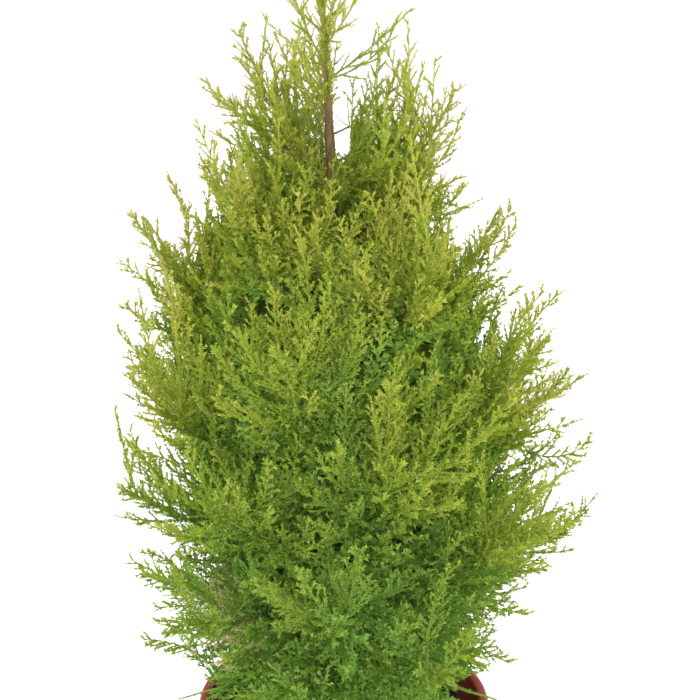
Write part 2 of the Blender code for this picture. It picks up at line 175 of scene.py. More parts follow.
def times(tree, first, second):
    """One value times another."""
    return node_in(tree, "ShaderNodeMath", {"operation": "MULTIPLY"}, i0=first, i1=second).outputs[0]


def mixed(tree, share, first, second):
    """The first colour where share is 0, the second where it is 1, and between them by share."""
    return node_in(tree, "ShaderNodeMix", {"data_type": "RGBA"}, i0=share, i6=first, i7=second).outputs[2]


def relief(tree, height, strength, distance, **under):
    """The surface's normal, bent by a height, on top of another Normal where one is given."""
    made = node_in(tree, "ShaderNodeBump", Height=height, Strength=strength, Distance=distance, **under)
    return made.outputs[0]


def effect_group(name, outputs, **inputs):
    """An empty shader node group, its input sockets and its output sockets.

    Both are given by name with their kind, Color, Vector or Float, or a number that a float starts at.
    """
    tree = bpy.data.node_groups.new(name, "ShaderNodeTree")
    for way, sockets in (("INPUT", inputs), ("OUTPUT", outputs)):
        for label, kind in sockets.items():
            kind, start = (kind, None) if isinstance(kind, str) else ("Float", kind)
            socket = tree.interface.new_socket(
                label.replace("_", " "), in_out=way, socket_type="NodeSocket" + kind
            )
            if start is not None:
                socket.default_value = start
    return tree, tree.nodes.new("NodeGroupInput").outputs, tree.nodes.new("NodeGroupOutput").inputs


def with_group(tree, group, **wired):
    """Places a node group in a material, sets or connects its inputs, and gives its outputs."""
    return node_in(tree, "ShaderNodeGroup", {"node_tree": group}, **wired).outputs


def mottling_group():
    """Colour that drifts between two tones: broad noise, broken up by noise seven times finer."""
    tree, given, out = effect_group(
        "mottling", {"Colour": "Color"}, Tone="Color", Deeper_Tone="Color", Scale=20.0, Fine_Share=0.4
    )
    place = object_place(tree)
    broad = noise(tree, place, given["Scale"], 3.0)
    fine = noise(tree, place, times(tree, given["Scale"], 7.0), 4.0)
    both = node_in(tree, "ShaderNodeMix", {"data_type": "FLOAT"}, i0=given["Fine Share"], i2=broad, i3=fine)
    drift = ramp(tree, both.outputs[0], 0.36, 0.64)
    tree.links.new(mixed(tree, drift, given["Deeper Tone"], given["Tone"]), out["Colour"])
    return tree


def dust_and_painted_shade_group():
    """A darker colour over another: thick below one height, gone above another, and broken up by noise. It
    paints dry soil dust, and inside the pot peat smears with painted shade.
    """
    tree, given, out = effect_group(
        "dust_and_painted_shade", {"Colour": "Color"}, Colour="Color", Dust="Color", Low=0.0, High=0.1, Amount=0.5
    )
    place = object_place(tree)
    height = node_in(tree, "ShaderNodeSeparateXYZ", Vector=place).outputs["Z"]
    low_down = ramp(tree, height, given["Low"], given["High"], 1.0, 0.0)
    patches = ramp(tree, noise(tree, place, 38.0, 6.0, 0.7), 0.42, 0.62)
    share = times(tree, times(tree, low_down, patches), given["Amount"])
    tree.links.new(mixed(tree, share, given["Colour"], given["Dust"]), out["Colour"])
    return tree


mottling = mottling_group()
dust_and_painted_shade = dust_and_painted_shade_group()


def new_finish(name, roughness, specular, colour=None):
    """A material and its node tree, with a plain base colour where one is given."""
    made = bpy.data.materials.new(name)
    made.use_nodes = True
    shader = made.node_tree.nodes["Principled BSDF"]
    shader.inputs["Roughness"].default_value = roughness
    shader.inputs["Specular IOR Level"].default_value = specular
    if colour:
        shader.inputs["Base Color"].default_value = (*colour, 1)
        made.diffuse_color = (*colour, 1)
    return made, made.node_tree


def shows(tree, **looks):
    """Connects colours, masks and normals to the material's shader."""
    for key, value in looks.items():
        tree.links.new(value, tree.nodes["Principled BSDF"].inputs[key.replace("_", " ")])


def pot_plastic(name, dust, low, high, amount):
    """Dyed plastic: a faint drift of its red, a darker coat by height (dry dust outside, peat smears and
    painted shade inside), rub marks in its gloss, grain and waves.
    """
    made, tree = new_finish(name, 0.42, 0.18)
    place = object_place(tree)
    tones = {"Tone": POT_RED, "Deeper_Tone": POT_DEEP_RED}
    red = with_group(tree, mottling, **tones, Scale=9.0, Fine_Share=0.25)["Colour"]
    dusted_and_shaded = with_group(tree, dust_and_painted_shade, Colour=red, Dust=dust, Low=low, High=high, Amount=amount)["Colour"]
    upright = node_in(tree, "ShaderNodeMapping", Vector=place, Scale=(1.0, 1.0, 9.0)).outputs[0]
    gloss = ramp(tree, noise(tree, upright, 60.0, 5.0, 0.65), 0.3, 0.7, 0.42, 0.62)
    grain = relief(tree, noise(tree, place, 900.0, 2.0), 0.12, 0.0003)
    waves = relief(tree, noise(tree, place, 16.0, 1.0), 0.35, 0.002, Normal=grain)
    shows(tree, Base_Color=dusted_and_shaded, Roughness=gloss, Normal=waves)
    return made


inside_rim = RIM_RADIUS - LIP_WIDTH
skirt_foot = POT_HEIGHT - SKIRT_DROP
under_lip = POT_HEIGHT - WALL - 0.001
pot_profile = rounded(
    [
        (0, 0, 0),
        (FOOT_RADIUS - 0.0070, 0, 0.0010),
        (FOOT_RADIUS - 0.0060, 0.0006, 0.0006),
        (FOOT_RADIUS - 0.0045, 0.0, 0.0006),
        (FOOT_RADIUS, 0.0, 0.0030),
        (wall_radius(0.012), 0.012, 0.0030),
        (wall_radius(0.070), 0.070, 0.0030),
        (wall_radius(0.140), 0.140, 0.0030),
        (wall_radius(under_lip), under_lip, 0.0012),
        (RIM_RADIUS - WALL, under_lip, 0.0006),
        (RIM_RADIUS - WALL - 0.0015, skirt_foot, 0.0006),
        (RIM_RADIUS - 0.0015, skirt_foot, 0.0006),
        (RIM_RADIUS - 0.0006, POT_HEIGHT - 0.012, 0.0010),
        (RIM_RADIUS, POT_HEIGHT - 0.0005, 0.0026),
        (RIM_RADIUS - 0.5 * LIP_WIDTH, POT_HEIGHT, 0.0008),
        (inside_rim, POT_HEIGHT - 0.0006, 0.0020),
        (wall_radius(0.17) - WALL, 0.17, 0.0030),
        (wall_radius(FLOOR) - WALL, FLOOR, 0.0025),
        (0, FLOOR, 0),
    ]
)
pot_points, pot_faces = turned(pot_profile, POT_TURNS)
clean_plastic = pot_plastic("terracotta_plastic", DRY_DUST, 0.0, 0.06, 0.45)
# Inside the pot the dark coat is peat smears and painted shade, in patches, most from 5 cm below the lip down
# and fading out at the lip.
peat_and_shade_plastic = pot_plastic("peat_smear_and_painted_shade_plastic", PEAT_AND_PAINTED_SHADE, POT_HEIGHT - 0.05, POT_HEIGHT, 1.6)
face_middles = np.concatenate([pot_points[block].mean(axis=1) for block in pot_faces])
face_radii = np.hypot(face_middles[:, 0], face_middles[:, 1])
inside = (face_middles[:, 2] > FLOOR - 0.001) & (face_middles[:, 2] < POT_HEIGHT - 0.002)
inside &= face_radii < wall_radius(face_middles[:, 2]) - 0.5 * WALL
pot = surface("nursery_pot", pot_points, pot_faces, [clean_plastic, peat_and_shade_plastic], inside.astype(int))
hole_turns = 2 * math.pi * (np.arange(DRAIN_HOLES) + 0.53) / DRAIN_HOLES
post_corners = [(0, -0.01, 0), (DRAIN_RADIUS, -0.01, 0.0001), (DRAIN_RADIUS, 0.014, 0.0001), (0, 0.014, 0)]
post = rounded(post_corners, 2)
post_points, post_faces = turned(post, 24)
hole_centres = DRAIN_CIRCLE * level_ways(hole_turns)
posts = surface(
    "drain_posts",
    (post_points[None] + hole_centres[:, None]).reshape(-1, 3),
    [np.concatenate([block + k * len(post_points) for k in range(DRAIN_HOLES)]) for block in post_faces],
    [],
)
drilled = pot.modifiers.new("drain_holes", "BOOLEAN")
drilled.operation, drilled.solver, drilled.object = "DIFFERENCE", "EXACT", posts
graph = bpy.context.evaluated_depsgraph_get()
pot.data = bpy.data.meshes.new_from_object(pot.evaluated_get(graph))
pot.modifiers.clear()
bpy.data.objects.remove(posts)
pot.data.set_sharp_from_angle(angle=math.radians(55))
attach(pot, "root")
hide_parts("pot")


# The potting soil.
# A plug of moist dark peat that fills the pot to 32 mm below its lip, settled and a little uneven,
# with loose crumbs of peat and shreds of bark on its face.

SOIL_LEVEL = POT_HEIGHT - 0.032
SOIL_RELIEF = 0.0022
CRUMBS = 1500
CRUMB_LENGTH = (0.0008, 0.0026)
SHRED_LENGTH = (0.0025, 0.0075)


def lumps(points, size, seed, waves=26):
    """Smooth random relief from -1 to 1: the mean of seeded sine waves, each about size long."""
    draw = np.random.default_rng(seed)
    ways = draw.normal(size=(waves, points.shape[-1]))
    ways *= (2 * math.pi / size) * draw.uniform(0.6, 1.7, (waves, 1)) / np.linalg.norm(ways, axis=1)[:, None]
    phases = draw.uniform(0, 2 * math.pi, waves)
    return np.clip(np.sin(points @ ways.T + phases).sum(axis=-1) / math.sqrt(waves), -1.5, 1.5) / 1.5


def soil_height(x, y):
    """The soil's face: broad and fine lumps that fade out at the trunk's foot."""
    place = np.stack([x, y], axis=-1)
    away = np.hypot(x, y)
    rough = 0.6 * lumps(place, 0.045, 5) + 0.3 * lumps(place, 0.014, 6) + 0.22 * lumps(place, 0.005, 7)
    return SOIL_LEVEL + SOIL_RELIEF * rough * np.clip((away - 0.016) / 0.02, 0, 1)


def peat():
    """Moist peat: near black with brown fibres along the edges of cells, matt, with a crumbly relief."""
    made, tree = new_finish("moist_peat", 0.95, 0.25)
    place = object_place(tree)
    tones = {"Tone": (0.060, 0.036, 0.020), "Deeper_Tone": (0.014, 0.010, 0.007)}
    dark = with_group(tree, mottling, **tones, Scale=90.0, Fine_Share=0.6)["Colour"]
    cells = node_in(tree, "ShaderNodeTexVoronoi", {"feature": "DISTANCE_TO_EDGE"}, Vector=place, Scale=420.0)
    fibres = ramp(tree, cells.outputs["Distance"], 0.0, 0.06, 0.35, 0.0)
    crumble = relief(tree, noise(tree, place, 420.0, 6.0, 0.7), 0.9, 0.002)
    shows(tree, Base_Color=mixed(tree, fibres, dark, (0.15, 0.085, 0.042)), Normal=crumble)
    return made


def bark_shred():
    """A shred of composted bark: red-brown, paler where it broke."""
    made, tree = new_finish("composted_bark", 0.85, 0.3)
    tones = {"Tone": (0.17, 0.085, 0.045), "Deeper_Tone": (0.045, 0.024, 0.014)}
    shows(tree, Base_Color=with_group(tree, mottling, **tones, Scale=160.0, Fine_Share=0.4)["Colour"])
    return made


moist_peat = peat()
soil_edge = wall_radius(SOIL_LEVEL) - WALL - 0.0008
soil_foot = wall_radius(FLOOR) - WALL - 0.0008
soil_depth = SOIL_LEVEL - 0.0015 - FLOOR
soil_profile = np.array(
    [(soil_foot * s, FLOOR + 0.0003) for s in (0, 0.6, 1.0)]
    + [(soil_foot + (soil_edge - soil_foot) * s, FLOOR + soil_depth * s) for s in (0.33, 0.66, 1.0)]
    + [(soil_edge * s, SOIL_LEVEL) for s in np.linspace(0.995, 0.01, 56)]
    + [(0, SOIL_LEVEL)]
)
soil_points, soil_faces = turned(soil_profile, 168)
on_top = soil_points[:, 2] > SOIL_LEVEL - 0.0005
soil_points[on_top, 2] = soil_height(soil_points[on_top, 0], soil_points[on_top, 1])
soil = surface("potting_soil_plug", soil_points, soil_faces, [moist_peat])
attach(soil, "root")
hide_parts("potting_soil")


def crumb_mesh(count, seed):
    """Crumbs and shreds strewn evenly over the soil: each is a lumpy eight-faced grain.

    Its corners are its centre plus (long, wide, thick) times six unit steps, tilted and spun at random.
    """
    draw = np.random.default_rng(seed)
    away = (soil_edge - 0.003) * np.sqrt(draw.uniform(0.02, 1, count))
    turn = draw.uniform(0, 2 * math.pi, count)
    x, y = away * np.cos(turn), away * np.sin(turn)
    shred = draw.uniform(size=count) < 0.3
    long = np.where(shred, draw.uniform(*SHRED_LENGTH, count), draw.uniform(*CRUMB_LENGTH, count))
    wide = long * np.where(shred, draw.uniform(0.25, 0.5, count), draw.uniform(0.6, 1.0, count))
    thick = np.minimum(wide * draw.uniform(0.3, 0.8, count), 0.0016)
    axes = np.array([(1, 0, 0), (0, 1, 0), (-1, 0, 0), (0, -1, 0), (0, 0, 1), (0, 0, -1)], float)
    corners = axes[None] * draw.uniform(0.7, 1.15, (count, 6, 1)) + draw.normal(0, 0.12, (count, 6, 3))
    corners *= np.stack([long, wide, thick], axis=-1)[:, None]
    spin, tilt = draw.uniform(0, 2 * math.pi, count), draw.normal(0, 0.35, count)
    tilted_x = corners[..., 0] * np.cos(tilt)[:, None] - corners[..., 2] * np.sin(tilt)[:, None]
    tilted_z = corners[..., 0] * np.sin(tilt)[:, None] + corners[..., 2] * np.cos(tilt)[:, None]
    across, along = np.cos(spin)[:, None], np.sin(spin)[:, None]
    spun_x = tilted_x * across - corners[..., 1] * along
    spun_y = tilted_x * along + corners[..., 1] * across
    points = np.stack([spun_x, spun_y, tilted_z], axis=-1)
    points += np.stack([x, y, soil_height(x, y) + 0.3 * thick], axis=-1)[:, None]
    eight = np.array([(0, 1, 4), (1, 2, 4), (2, 3, 4), (3, 0, 4), (1, 0, 5), (2, 1, 5), (3, 2, 5), (0, 3, 5)])
    faces = (eight[None] + 6 * np.arange(count)[:, None, None]).reshape(-1, 3)
    return points.reshape(-1, 3), faces, np.repeat(shred.astype(int), 8)


crumb_points, crumb_faces, crumb_kind = crumb_mesh(CRUMBS, 41)
crumbs = surface(
    "soil_crumbs", crumb_points, [crumb_faces], [moist_peat, bark_shred()], crumb_kind, smooth=False
)
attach(crumbs, "root")


# The trunk.
# One slim stem that leans a little to the left and sweeps. Its bark is grey-brown with a red
# cast, in fine shreds that run up it, with a collar round the foot of each limb.

TRUNK_TOP = POT_HEIGHT + 0.605
TRUNK_LEAN = -0.013
TRUNK_SWEEP = 0.004
TRUNK_FOOT_RADIUS = 0.0118
TRUNK_TOP_RADIUS = 0.0034
ROOT_FLARE = 0.0070
ROOT_FLARE_HEIGHT = 0.014
ROOT_LOBES = 0.16
TRUNK_RINGS = 320
TRUNK_SIDES = 36
LIMB_THICKNESS = 0.0150
SOIL_DUST = (0.05, 0.034, 0.022)

OUTLINE_HEIGHTS = (0.00, 0.12, 0.24, 0.36, 0.46, 0.55, 0.64, 0.70, 0.75)
LEFT_REACH = (0.163, 0.203, 0.211, 0.203, 0.196, 0.142, 0.106, 0.066, 0.020)
RIGHT_REACH = (0.168, 0.192, 0.242, 0.226, 0.186, 0.130, 0.110, 0.078, 0.020)
TIP_RISE = (-14.0, 12.0, 34.0, 50.0, 58.0, 62.0, 64.0, 64.0, 64.0)
LIMBS = 33
GOLDEN_ANGLE = math.radians(137.508)


def trunk_axis(heights):
    """The centre line: a lean that grows evenly with height, and a sweep of half a sine wave."""
    heights = np.asarray(heights, float)
    rise = (heights - SOIL_LEVEL) / (TRUNK_TOP - SOIL_LEVEL)
    left_right = TRUNK_LEAN * rise + TRUNK_SWEEP * np.sin(math.pi * rise)
    return np.stack([left_right, TRUNK_SWEEP * np.sin(2 * math.pi * rise), heights], axis=-1)


def trunk_radius(heights):
    """An even taper, and a flare that dies away exponentially above the soil."""
    rise = (np.asarray(heights, float) - SOIL_LEVEL) / (TRUNK_TOP - SOIL_LEVEL)
    taper = TRUNK_FOOT_RADIUS + (TRUNK_TOP_RADIUS - TRUNK_FOOT_RADIUS) * np.clip(rise, 0, 1) ** 0.85
    return taper + ROOT_FLARE * np.exp(-(np.asarray(heights) - SOIL_LEVEL) / ROOT_FLARE_HEIGHT)


def round_about(left, right, across):
    """A reach that runs evenly from left to right as the cosine across goes from -1 to 1."""
    return left + (right - left) * (1 + across) / 2


def crown_reach(heights, across):
    """The crown's reach from the trunk at heights above the rim."""
    sides = (np.interp(heights, OUTLINE_HEIGHTS, side) for side in (LEFT_REACH, RIGHT_REACH))
    return round_about(*sides, across)


def unit(rows):
    """Directions scaled to length one."""
    return rows / np.maximum(np.linalg.norm(rows, axis=-1, keepdims=True), 1e-9)


def squared(rows, way):
    """Directions less their part along a way, at length one."""
    return unit(rows - (rows * way).sum(-1, keepdims=True) * way)


def limb_frames():
    """Foot, bend and tip of each limb, as in the part's source.

    Tips share the crown's surface out evenly, closer near its base, and turn by the golden angle.
    A limb is the curve (1-t)^2 foot + 2t(1-t) bend + t^2 tip.
    """
    levels = np.linspace(0.012, 0.672, 200)
    reach = np.add(LEFT_REACH, RIGHT_REACH) / 2
    spread = np.cumsum(np.interp(levels, OUTLINE_HEIGHTS, reach) * (1 + 0.9 * np.exp(-levels / 0.09)))
    spread -= spread[0]
    heights = np.interp((np.arange(LIMBS) + 0.5) / LIMBS * spread[-1], spread, levels)
    chance = np.random.default_rng(11).random((LIMBS, 2)) * 2 - 1
    turn = math.radians(60.0) + np.arange(LIMBS) * GOLDEN_ANGLE + chance[:, 0] * math.radians(7.0)
    reach = crown_reach(heights, np.cos(turn)) * (1 + chance[:, 1] * 0.06)
    rise = np.radians(np.interp(heights, OUTLINE_HEIGHTS, TIP_RISE))
    outwards = level_ways(turn)
    tip = trunk_axis(POT_HEIGHT + heights) + outwards * reach[:, None]
    lowest = POT_HEIGHT + 0.012 + 0.0012 * np.arange(LIMBS)
    foot = trunk_axis(np.maximum(tip[:, 2] - reach * np.tan(rise * 0.82), lowest))
    bend = foot + outwards * reach[:, None] * 0.5
    bend[:, 2] = tip[:, 2] - 0.5 * reach * np.tan(rise)
    return foot, bend, tip


def leaning(way, towards, angle):
    """Directions that lean from a way towards one square to it: cos a way + sin a towards."""
    return np.cos(angle)[..., None] * way + np.sin(angle)[..., None] * towards


def curve(foot, bend, tip, t):
    """Points of many curves at shares t: (1-t)^2 foot + 2t(1-t) bend + t^2 tip. t holds a row for each."""
    t = t[..., None]
    return (1 - t) ** 2 * foot[:, None] + 2 * t * (1 - t) * bend[:, None] + t**2 * tip[:, None]


def way_along(foot, bend, tip, t):
    """Unit directions of the same curves: 2(1-t)(bend - foot) + 2t(tip - bend)."""
    t = t[..., None]
    return unit((1 - t) * (bend - foot)[:, None] + t * (tip - bend)[:, None])


limb_foot, limb_bend, limb_tip = limb_frames()
limb_grid = curve(limb_foot, limb_bend, limb_tip, np.linspace(0, 1, 25)[None].repeat(LIMBS, 0))
limb_length = np.linalg.norm(np.diff(limb_grid, axis=1), axis=-1).sum(axis=1)
limb_radius = LIMB_THICKNESS * limb_length


def fibre_group():
    """Shreddy bark: noise drawn out along one axis gives the two tones and the height, in broad patches."""
    shown = {"Colour": "Color", "Height": "Float"}
    tree, given, out = effect_group(
        "bark_fibres", shown, Vector="Vector", Pale="Color", Dark="Color", Scale=300.0
    )
    shreds = noise(tree, given["Vector"], given["Scale"], 5.0, 0.65, 0.3)
    colour = mixed(tree, ramp(tree, shreds, 0.38, 0.62), given["Dark"], given["Pale"])
    patches = noise(tree, given["Vector"], times(tree, given["Scale"], 0.17), 2.0)
    shade = ramp(tree, patches, 0.35, 0.65, 0.72, 1.15)
    shaded = node_in(tree, "ShaderNodeVectorMath", {"operation": "SCALE"}, i0=colour, Scale=shade)
    tree.links.new(shaded.outputs[0], out["Colour"])
    tree.links.new(shreds, out["Height"])
    return tree


bark_fibres = fibre_group()


def bark(name, pale, dark, follow_uv, scale, dust=0.0):
    """Bark from the fibre group, drawn out along the trunk's height or along a limb's own UV map."""
    made, tree = new_finish(name, 0.82, 0.2)
    place = node_in(tree, "ShaderNodeTexCoord").outputs["UV" if follow_uv else "Object"]
    stretch = (1.0, 0.14, 1.0) if follow_uv else (1.0, 1.0, 0.12)
    drawn_out = node_in(tree, "ShaderNodeMapping", Vector=place, Scale=stretch).outputs[0]
    fibres = with_group(tree, bark_fibres, Vector=drawn_out, Pale=pale, Dark=dark, Scale=scale)
    shown = fibres["Colour"]
    if dust:
        ends = {"Low": SOIL_LEVEL, "High": SOIL_LEVEL + 0.035}
        shown = with_group(tree, dust_and_painted_shade, Colour=shown, Dust=SOIL_DUST, Amount=dust, **ends)["Colour"]
    shows(tree, Base_Color=shown, Normal=relief(tree, fibres["Height"], 0.8, 0.0009))
    return made


def trunk_points():
    """Rings round the axis: the radius, times three root lobes at the foot, plus shreds and collars.

    A collar adds a share of its limb's radius, which falls off as a bell round the limb's foot.
    """
    heights = SOIL_LEVEL - 0.002 + np.linspace(0, 1, TRUNK_RINGS) * (TRUNK_TOP - SOIL_LEVEL + 0.002)
    turns = 2 * math.pi * np.arange(TRUNK_SIDES) / TRUNK_SIDES
    flare = np.exp(-(heights - SOIL_LEVEL) / ROOT_FLARE_HEIGHT)[:, None]
    radius = trunk_radius(heights)[:, None] * (1 + ROOT_LOBES * flare * np.cos(3 * turns + 0.6))
    ring = level_ways(turns)[None]
    place = ring * 0.010 + np.stack([0 * heights, 0 * heights, heights * 0.16], axis=-1)[:, None]
    radius = radius + 0.045 * radius * lumps(place, 0.0042, 12) + 0.05 * radius * lumps(place, 0.013, 13)
    away = limb_bend - limb_foot
    limb_turn = np.arctan2(away[:, 1], away[:, 0])
    lift = trunk_radius(limb_foot[:, 2]) * away[:, 2] / np.hypot(away[:, 0], away[:, 1])
    side = np.angle(np.exp(1j * (turns[None, :, None] - limb_turn[None, None, :]))) * radius[..., None]
    up = heights[:, None, None] - (limb_foot[:, 2] + lift)[None, None, :]
    bell = np.exp(-(side**2 + (0.7 * up) ** 2) / (1.3 * limb_radius) ** 2)
    radius = radius + (0.32 * limb_radius * bell).max(axis=-1)
    return trunk_axis(heights)[:, None] + ring * radius[..., None]


rings = trunk_points()
caps = [
    np.arange(TRUNK_SIDES)[::-1][None],
    (np.arange(TRUNK_SIDES) + TRUNK_SIDES * (TRUNK_RINGS - 1))[None],
]
trunk_bark = bark("trunk_bark", (0.33, 0.225, 0.095), (0.145, 0.082, 0.034), False, 260.0, dust=0.7)
trunk = surface(
    "trunk_with_bark", rings.reshape(-1, 3), [ring_faces(TRUNK_RINGS, TRUNK_SIDES), *caps], [trunk_bark]
)
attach(trunk, "root")
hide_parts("trunk")


# The boughs and the woody axes inside the plumes.
# Each limb is one tapering stem that leaves the trunk flat and turns up. Its first stretch is
# bare bark. Further out it is young brown wood that turns green, and carries the shoots.

BOUGHS = 22
CROWN_TOP = POT_HEIGHT + 0.745
LIMB_RINGS = 44
LIMB_SIDES = 9
LIMB_TAPER = 0.86
KNOT_SPACING = 0.009
LEADER_RINGS = 40
LEADER_SIDES = 12
SIDE_SHIFT = 0.7
GRAIN_SHIFT = 0.37


def tube_mesh(centres, reference, radii):
    """Tubes along rows of points: centre + radius (cos a side + sin a up), all tubes at once.

    side is the reference direction squared to the tube's way, and up is square to both. UV is the
    length round and the length along, in metres.
    """
    count, ring_count, sides = radii.shape
    way = unit(np.gradient(centres, axis=1))
    side = squared(reference[:, None], way)
    up = np.cross(way, side)
    turns = 2 * math.pi * np.arange(sides) / sides
    ring = leaning(side[:, :, None], up[:, :, None], turns)
    points = centres[:, :, None] + ring * radii[..., None]
    steps = np.linalg.norm(np.diff(centres, axis=1), axis=-1)
    along = np.concatenate([np.zeros((count, 1)), np.cumsum(steps, axis=1)], axis=1)
    around = turns[None, None, :] * radii.mean(axis=(1, 2))[:, None, None] + 0 * radii
    uv = np.stack([around, along[..., None] + 0 * radii], axis=-1)
    uv = uv + np.arange(count)[:, None, None, None] * GRAIN_SHIFT
    offset = np.arange(count)[:, None, None] * ring_count * sides
    faces = (ring_faces(ring_count, sides)[None] + offset).reshape(-1, 4)
    start = (np.arange(sides)[::-1][None, None] + offset).reshape(-1, sides)
    end = (np.arange(sides)[None, None] + offset + (ring_count - 1) * sides).reshape(-1, sides)
    return points.reshape(-1, 3), [faces, start, end], uv.reshape(-1, 2)


def limb_centres(shares):
    """The limb curve plus a small crook: two sine waves across it that vanish at foot and tip."""
    centres = curve(limb_foot, limb_bend, limb_tip, shares)
    draw = np.random.default_rng(71)
    bump = np.sin(math.pi * shares)[..., None]
    phase = draw.uniform(0, 2 * math.pi, (2, LIMBS, 1, 1))
    ways = draw.normal(0, 1, (2, LIMBS, 1, 3))
    waves = np.sin(2 * math.pi * 2.3 * shares[..., None] + phase[0]) * ways[0]
    waves = waves + 0.6 * np.sin(2 * math.pi * 4.1 * shares[..., None] + phase[1]) * ways[1]
    return centres + 0.0016 * bump * waves


def roughened(radii, centres, sides, depth, size, seed):
    """A radius for each side of a tube: the ring's own times 1 plus a depth of smooth random relief."""
    places = centres[:, :, None] + np.arange(sides)[:, None] * SIDE_SHIFT
    return radii[..., None].repeat(sides, 2) * (1 + depth * lumps(places, size, seed))


flat_across = unit(np.cross(limb_bend - limb_foot, (0, 0, 1.0)))
shares = np.linspace(0, 1, LIMB_RINGS)[None].repeat(LIMBS, 0)
limb_lines = limb_centres(shares)
taper = (1 - LIMB_TAPER * shares) ** 0.9
knot_turns = shares * limb_length[:, None] / KNOT_SPACING * 2 * math.pi + np.arange(LIMBS)[:, None]
knots = 1 + 0.10 * np.sin(knot_turns)
limb_radii = roughened(limb_radius[:, None] * taper * knots, limb_lines, LIMB_SIDES, 0.07, 0.01, 15)
bough_bark = bark("bough_bark", (0.38, 0.270, 0.150), (0.180, 0.105, 0.055), True, 420.0)
young_wood = new_finish("young_wood", 0.7, 0.3, (0.30, 0.24, 0.09))[0]
green_wood = new_finish("green_wood", 0.6, 0.3, (0.24, 0.34, 0.045))[0]
limb_finishes = [bough_bark, young_wood, green_wood]


def limb_finish(count):
    """Bark on a limb's first half, then young tan wood, then green wood: one number for each face."""
    along = np.arange(LIMB_RINGS - 1) / (LIMB_RINGS - 1)
    kind = np.where(along < 0.45, 0, np.where(along < 0.68, 1, 2))
    sides = np.tile(np.repeat(kind, LIMB_SIDES), count)
    return np.concatenate([sides, np.zeros(count, int), np.full(count, 2)])


def limb_piece(name, low, high):
    """The limbs from one number up to another, as one piece."""
    points, faces, uv = tube_mesh(limb_lines[low:high], flat_across[low:high], limb_radii[low:high])
    return surface(name, points, faces, limb_finishes, limb_finish(high - low), uv=uv)


boughs = limb_piece("boughs_with_bark", 0, BOUGHS)
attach(boughs, "root")
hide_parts(*[f"bough_{number + 1:02d}" for number in range(BOUGHS)])

upper_limbs = limb_piece("upper_limbs_with_bark", BOUGHS, LIMBS)
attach(upper_limbs, "root")

leader_bark = bark("leader_bark", (0.38, 0.26, 0.11), (0.20, 0.12, 0.05), True, 420.0)
leader_heights = np.linspace(TRUNK_TOP - 0.004, CROWN_TOP, LEADER_RINGS)
leader_line = trunk_axis(leader_heights)[None]
crook = np.sin(leader_heights / 0.0115) * 0.0009 * np.clip((leader_heights - TRUNK_TOP) / 0.03, 0, 1)
leader_line = leader_line + crook[None, :, None] * np.array((1.0, 0.4, 0))
leader_radii = TRUNK_TOP_RADIUS * (0.97 - 0.87 * np.linspace(0, 1, LEADER_RINGS) ** 0.5)
leader_radii = roughened(leader_radii[None], leader_line, LEADER_SIDES, 0.06, 0.012, 16)
points, faces, uv = tube_mesh(leader_line, np.array([(1.0, 0, 0)]), leader_radii)
leader = surface("leader_stem", points, faces, [leader_bark], uv=uv)
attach(leader, "root")


# The bare stub.
# A short dead twig on the right of the stem below its tip, forked, grey-brown and leafless. It is
# what is left of a side shoot.

STUB_HEIGHT = POT_HEIGHT + 0.574
STUB_STEPS = ((0.0, 0, 0.0), (0.017, 0, 0.007), (0.0155, 0, 0.034), (0.0025, 0, 0.021))
STUB_RADII = ((0.0011, 0.0008), (0.0007, 0.0003), (0.0005, 0.0002))
STUB_RINGS = 7
STUB_SIDES = 6

forks = trunk_axis(STUB_HEIGHT) + np.array(STUB_STEPS)
stub_lines = np.stack(
    [np.linspace(forks[low], forks[high], STUB_RINGS) for low, high in ((0, 1), (1, 2), (1, 3))]
)
stub_lines[:, 1:-1] += np.random.default_rng(19).normal(0, 0.0004, (3, STUB_RINGS - 2, 3))
stub_radii = np.stack([np.linspace(*pair, STUB_RINGS) for pair in STUB_RADII])
stub_radii = stub_radii[..., None].repeat(STUB_SIDES, 2)
points, faces, uv = tube_mesh(stub_lines, np.array([(0, 1.0, 0)] * 3), stub_radii)
stub = surface("bare_stub_twig", points, faces, [bough_bark], uv=uv)
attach(stub, "root")


# The shoots.
# Green side shoots leave each limb by the golden angle and fill the crown's body. Single ones and
# the limbs' ends stand out of it to the outline. Each is a flat feathery spray: shoots carry
# branchlets, branchlets carry twigs, all turned up at the tips.

# Each kind's number, the shares of the crown's reach that its tips lie between, and its length. The
# source's own plumes have SHOOTS each. FULLNESS shares shoots out by height, at OUTLINE_HEIGHTS.
SHOOTS = 13
OUTER_SHOOTS = 1230
OUTER_SHARES = (0.76, 1.0)
OUTER_LENGTH = 0.085
INNER_SHOOTS = 1300
INNER_SHARES = (0.14, 0.80)
INNER_LENGTH = 0.060
STANDING_SHOOTS = 100
STANDING_SHARES = (0.95, 1.0)
STANDING_LENGTH = 0.075
STANDING_TOP = 0.62
FULLNESS = (2.6, 1.25, 1.0, 1.0, 1.1, 1.05, 0.24, 0.03, 0.03)

# The bare stretch of the stem and the opening beside it, and the openings over the rim's two ends, by
# height above the rim. WINDOW_FALL is the slope that the camera looks down at.
STEM_GAP = (0.535, 0.615)
WINDOW = (0.566, 0.612)
WINDOW_EDGE = 0.003
WINDOW_WIDTH = 0.015
WINDOW_FALL = 0.437
RIM_WINDOWS = (-0.131, 0.108)
RIM_WINDOW_TOP = 0.036

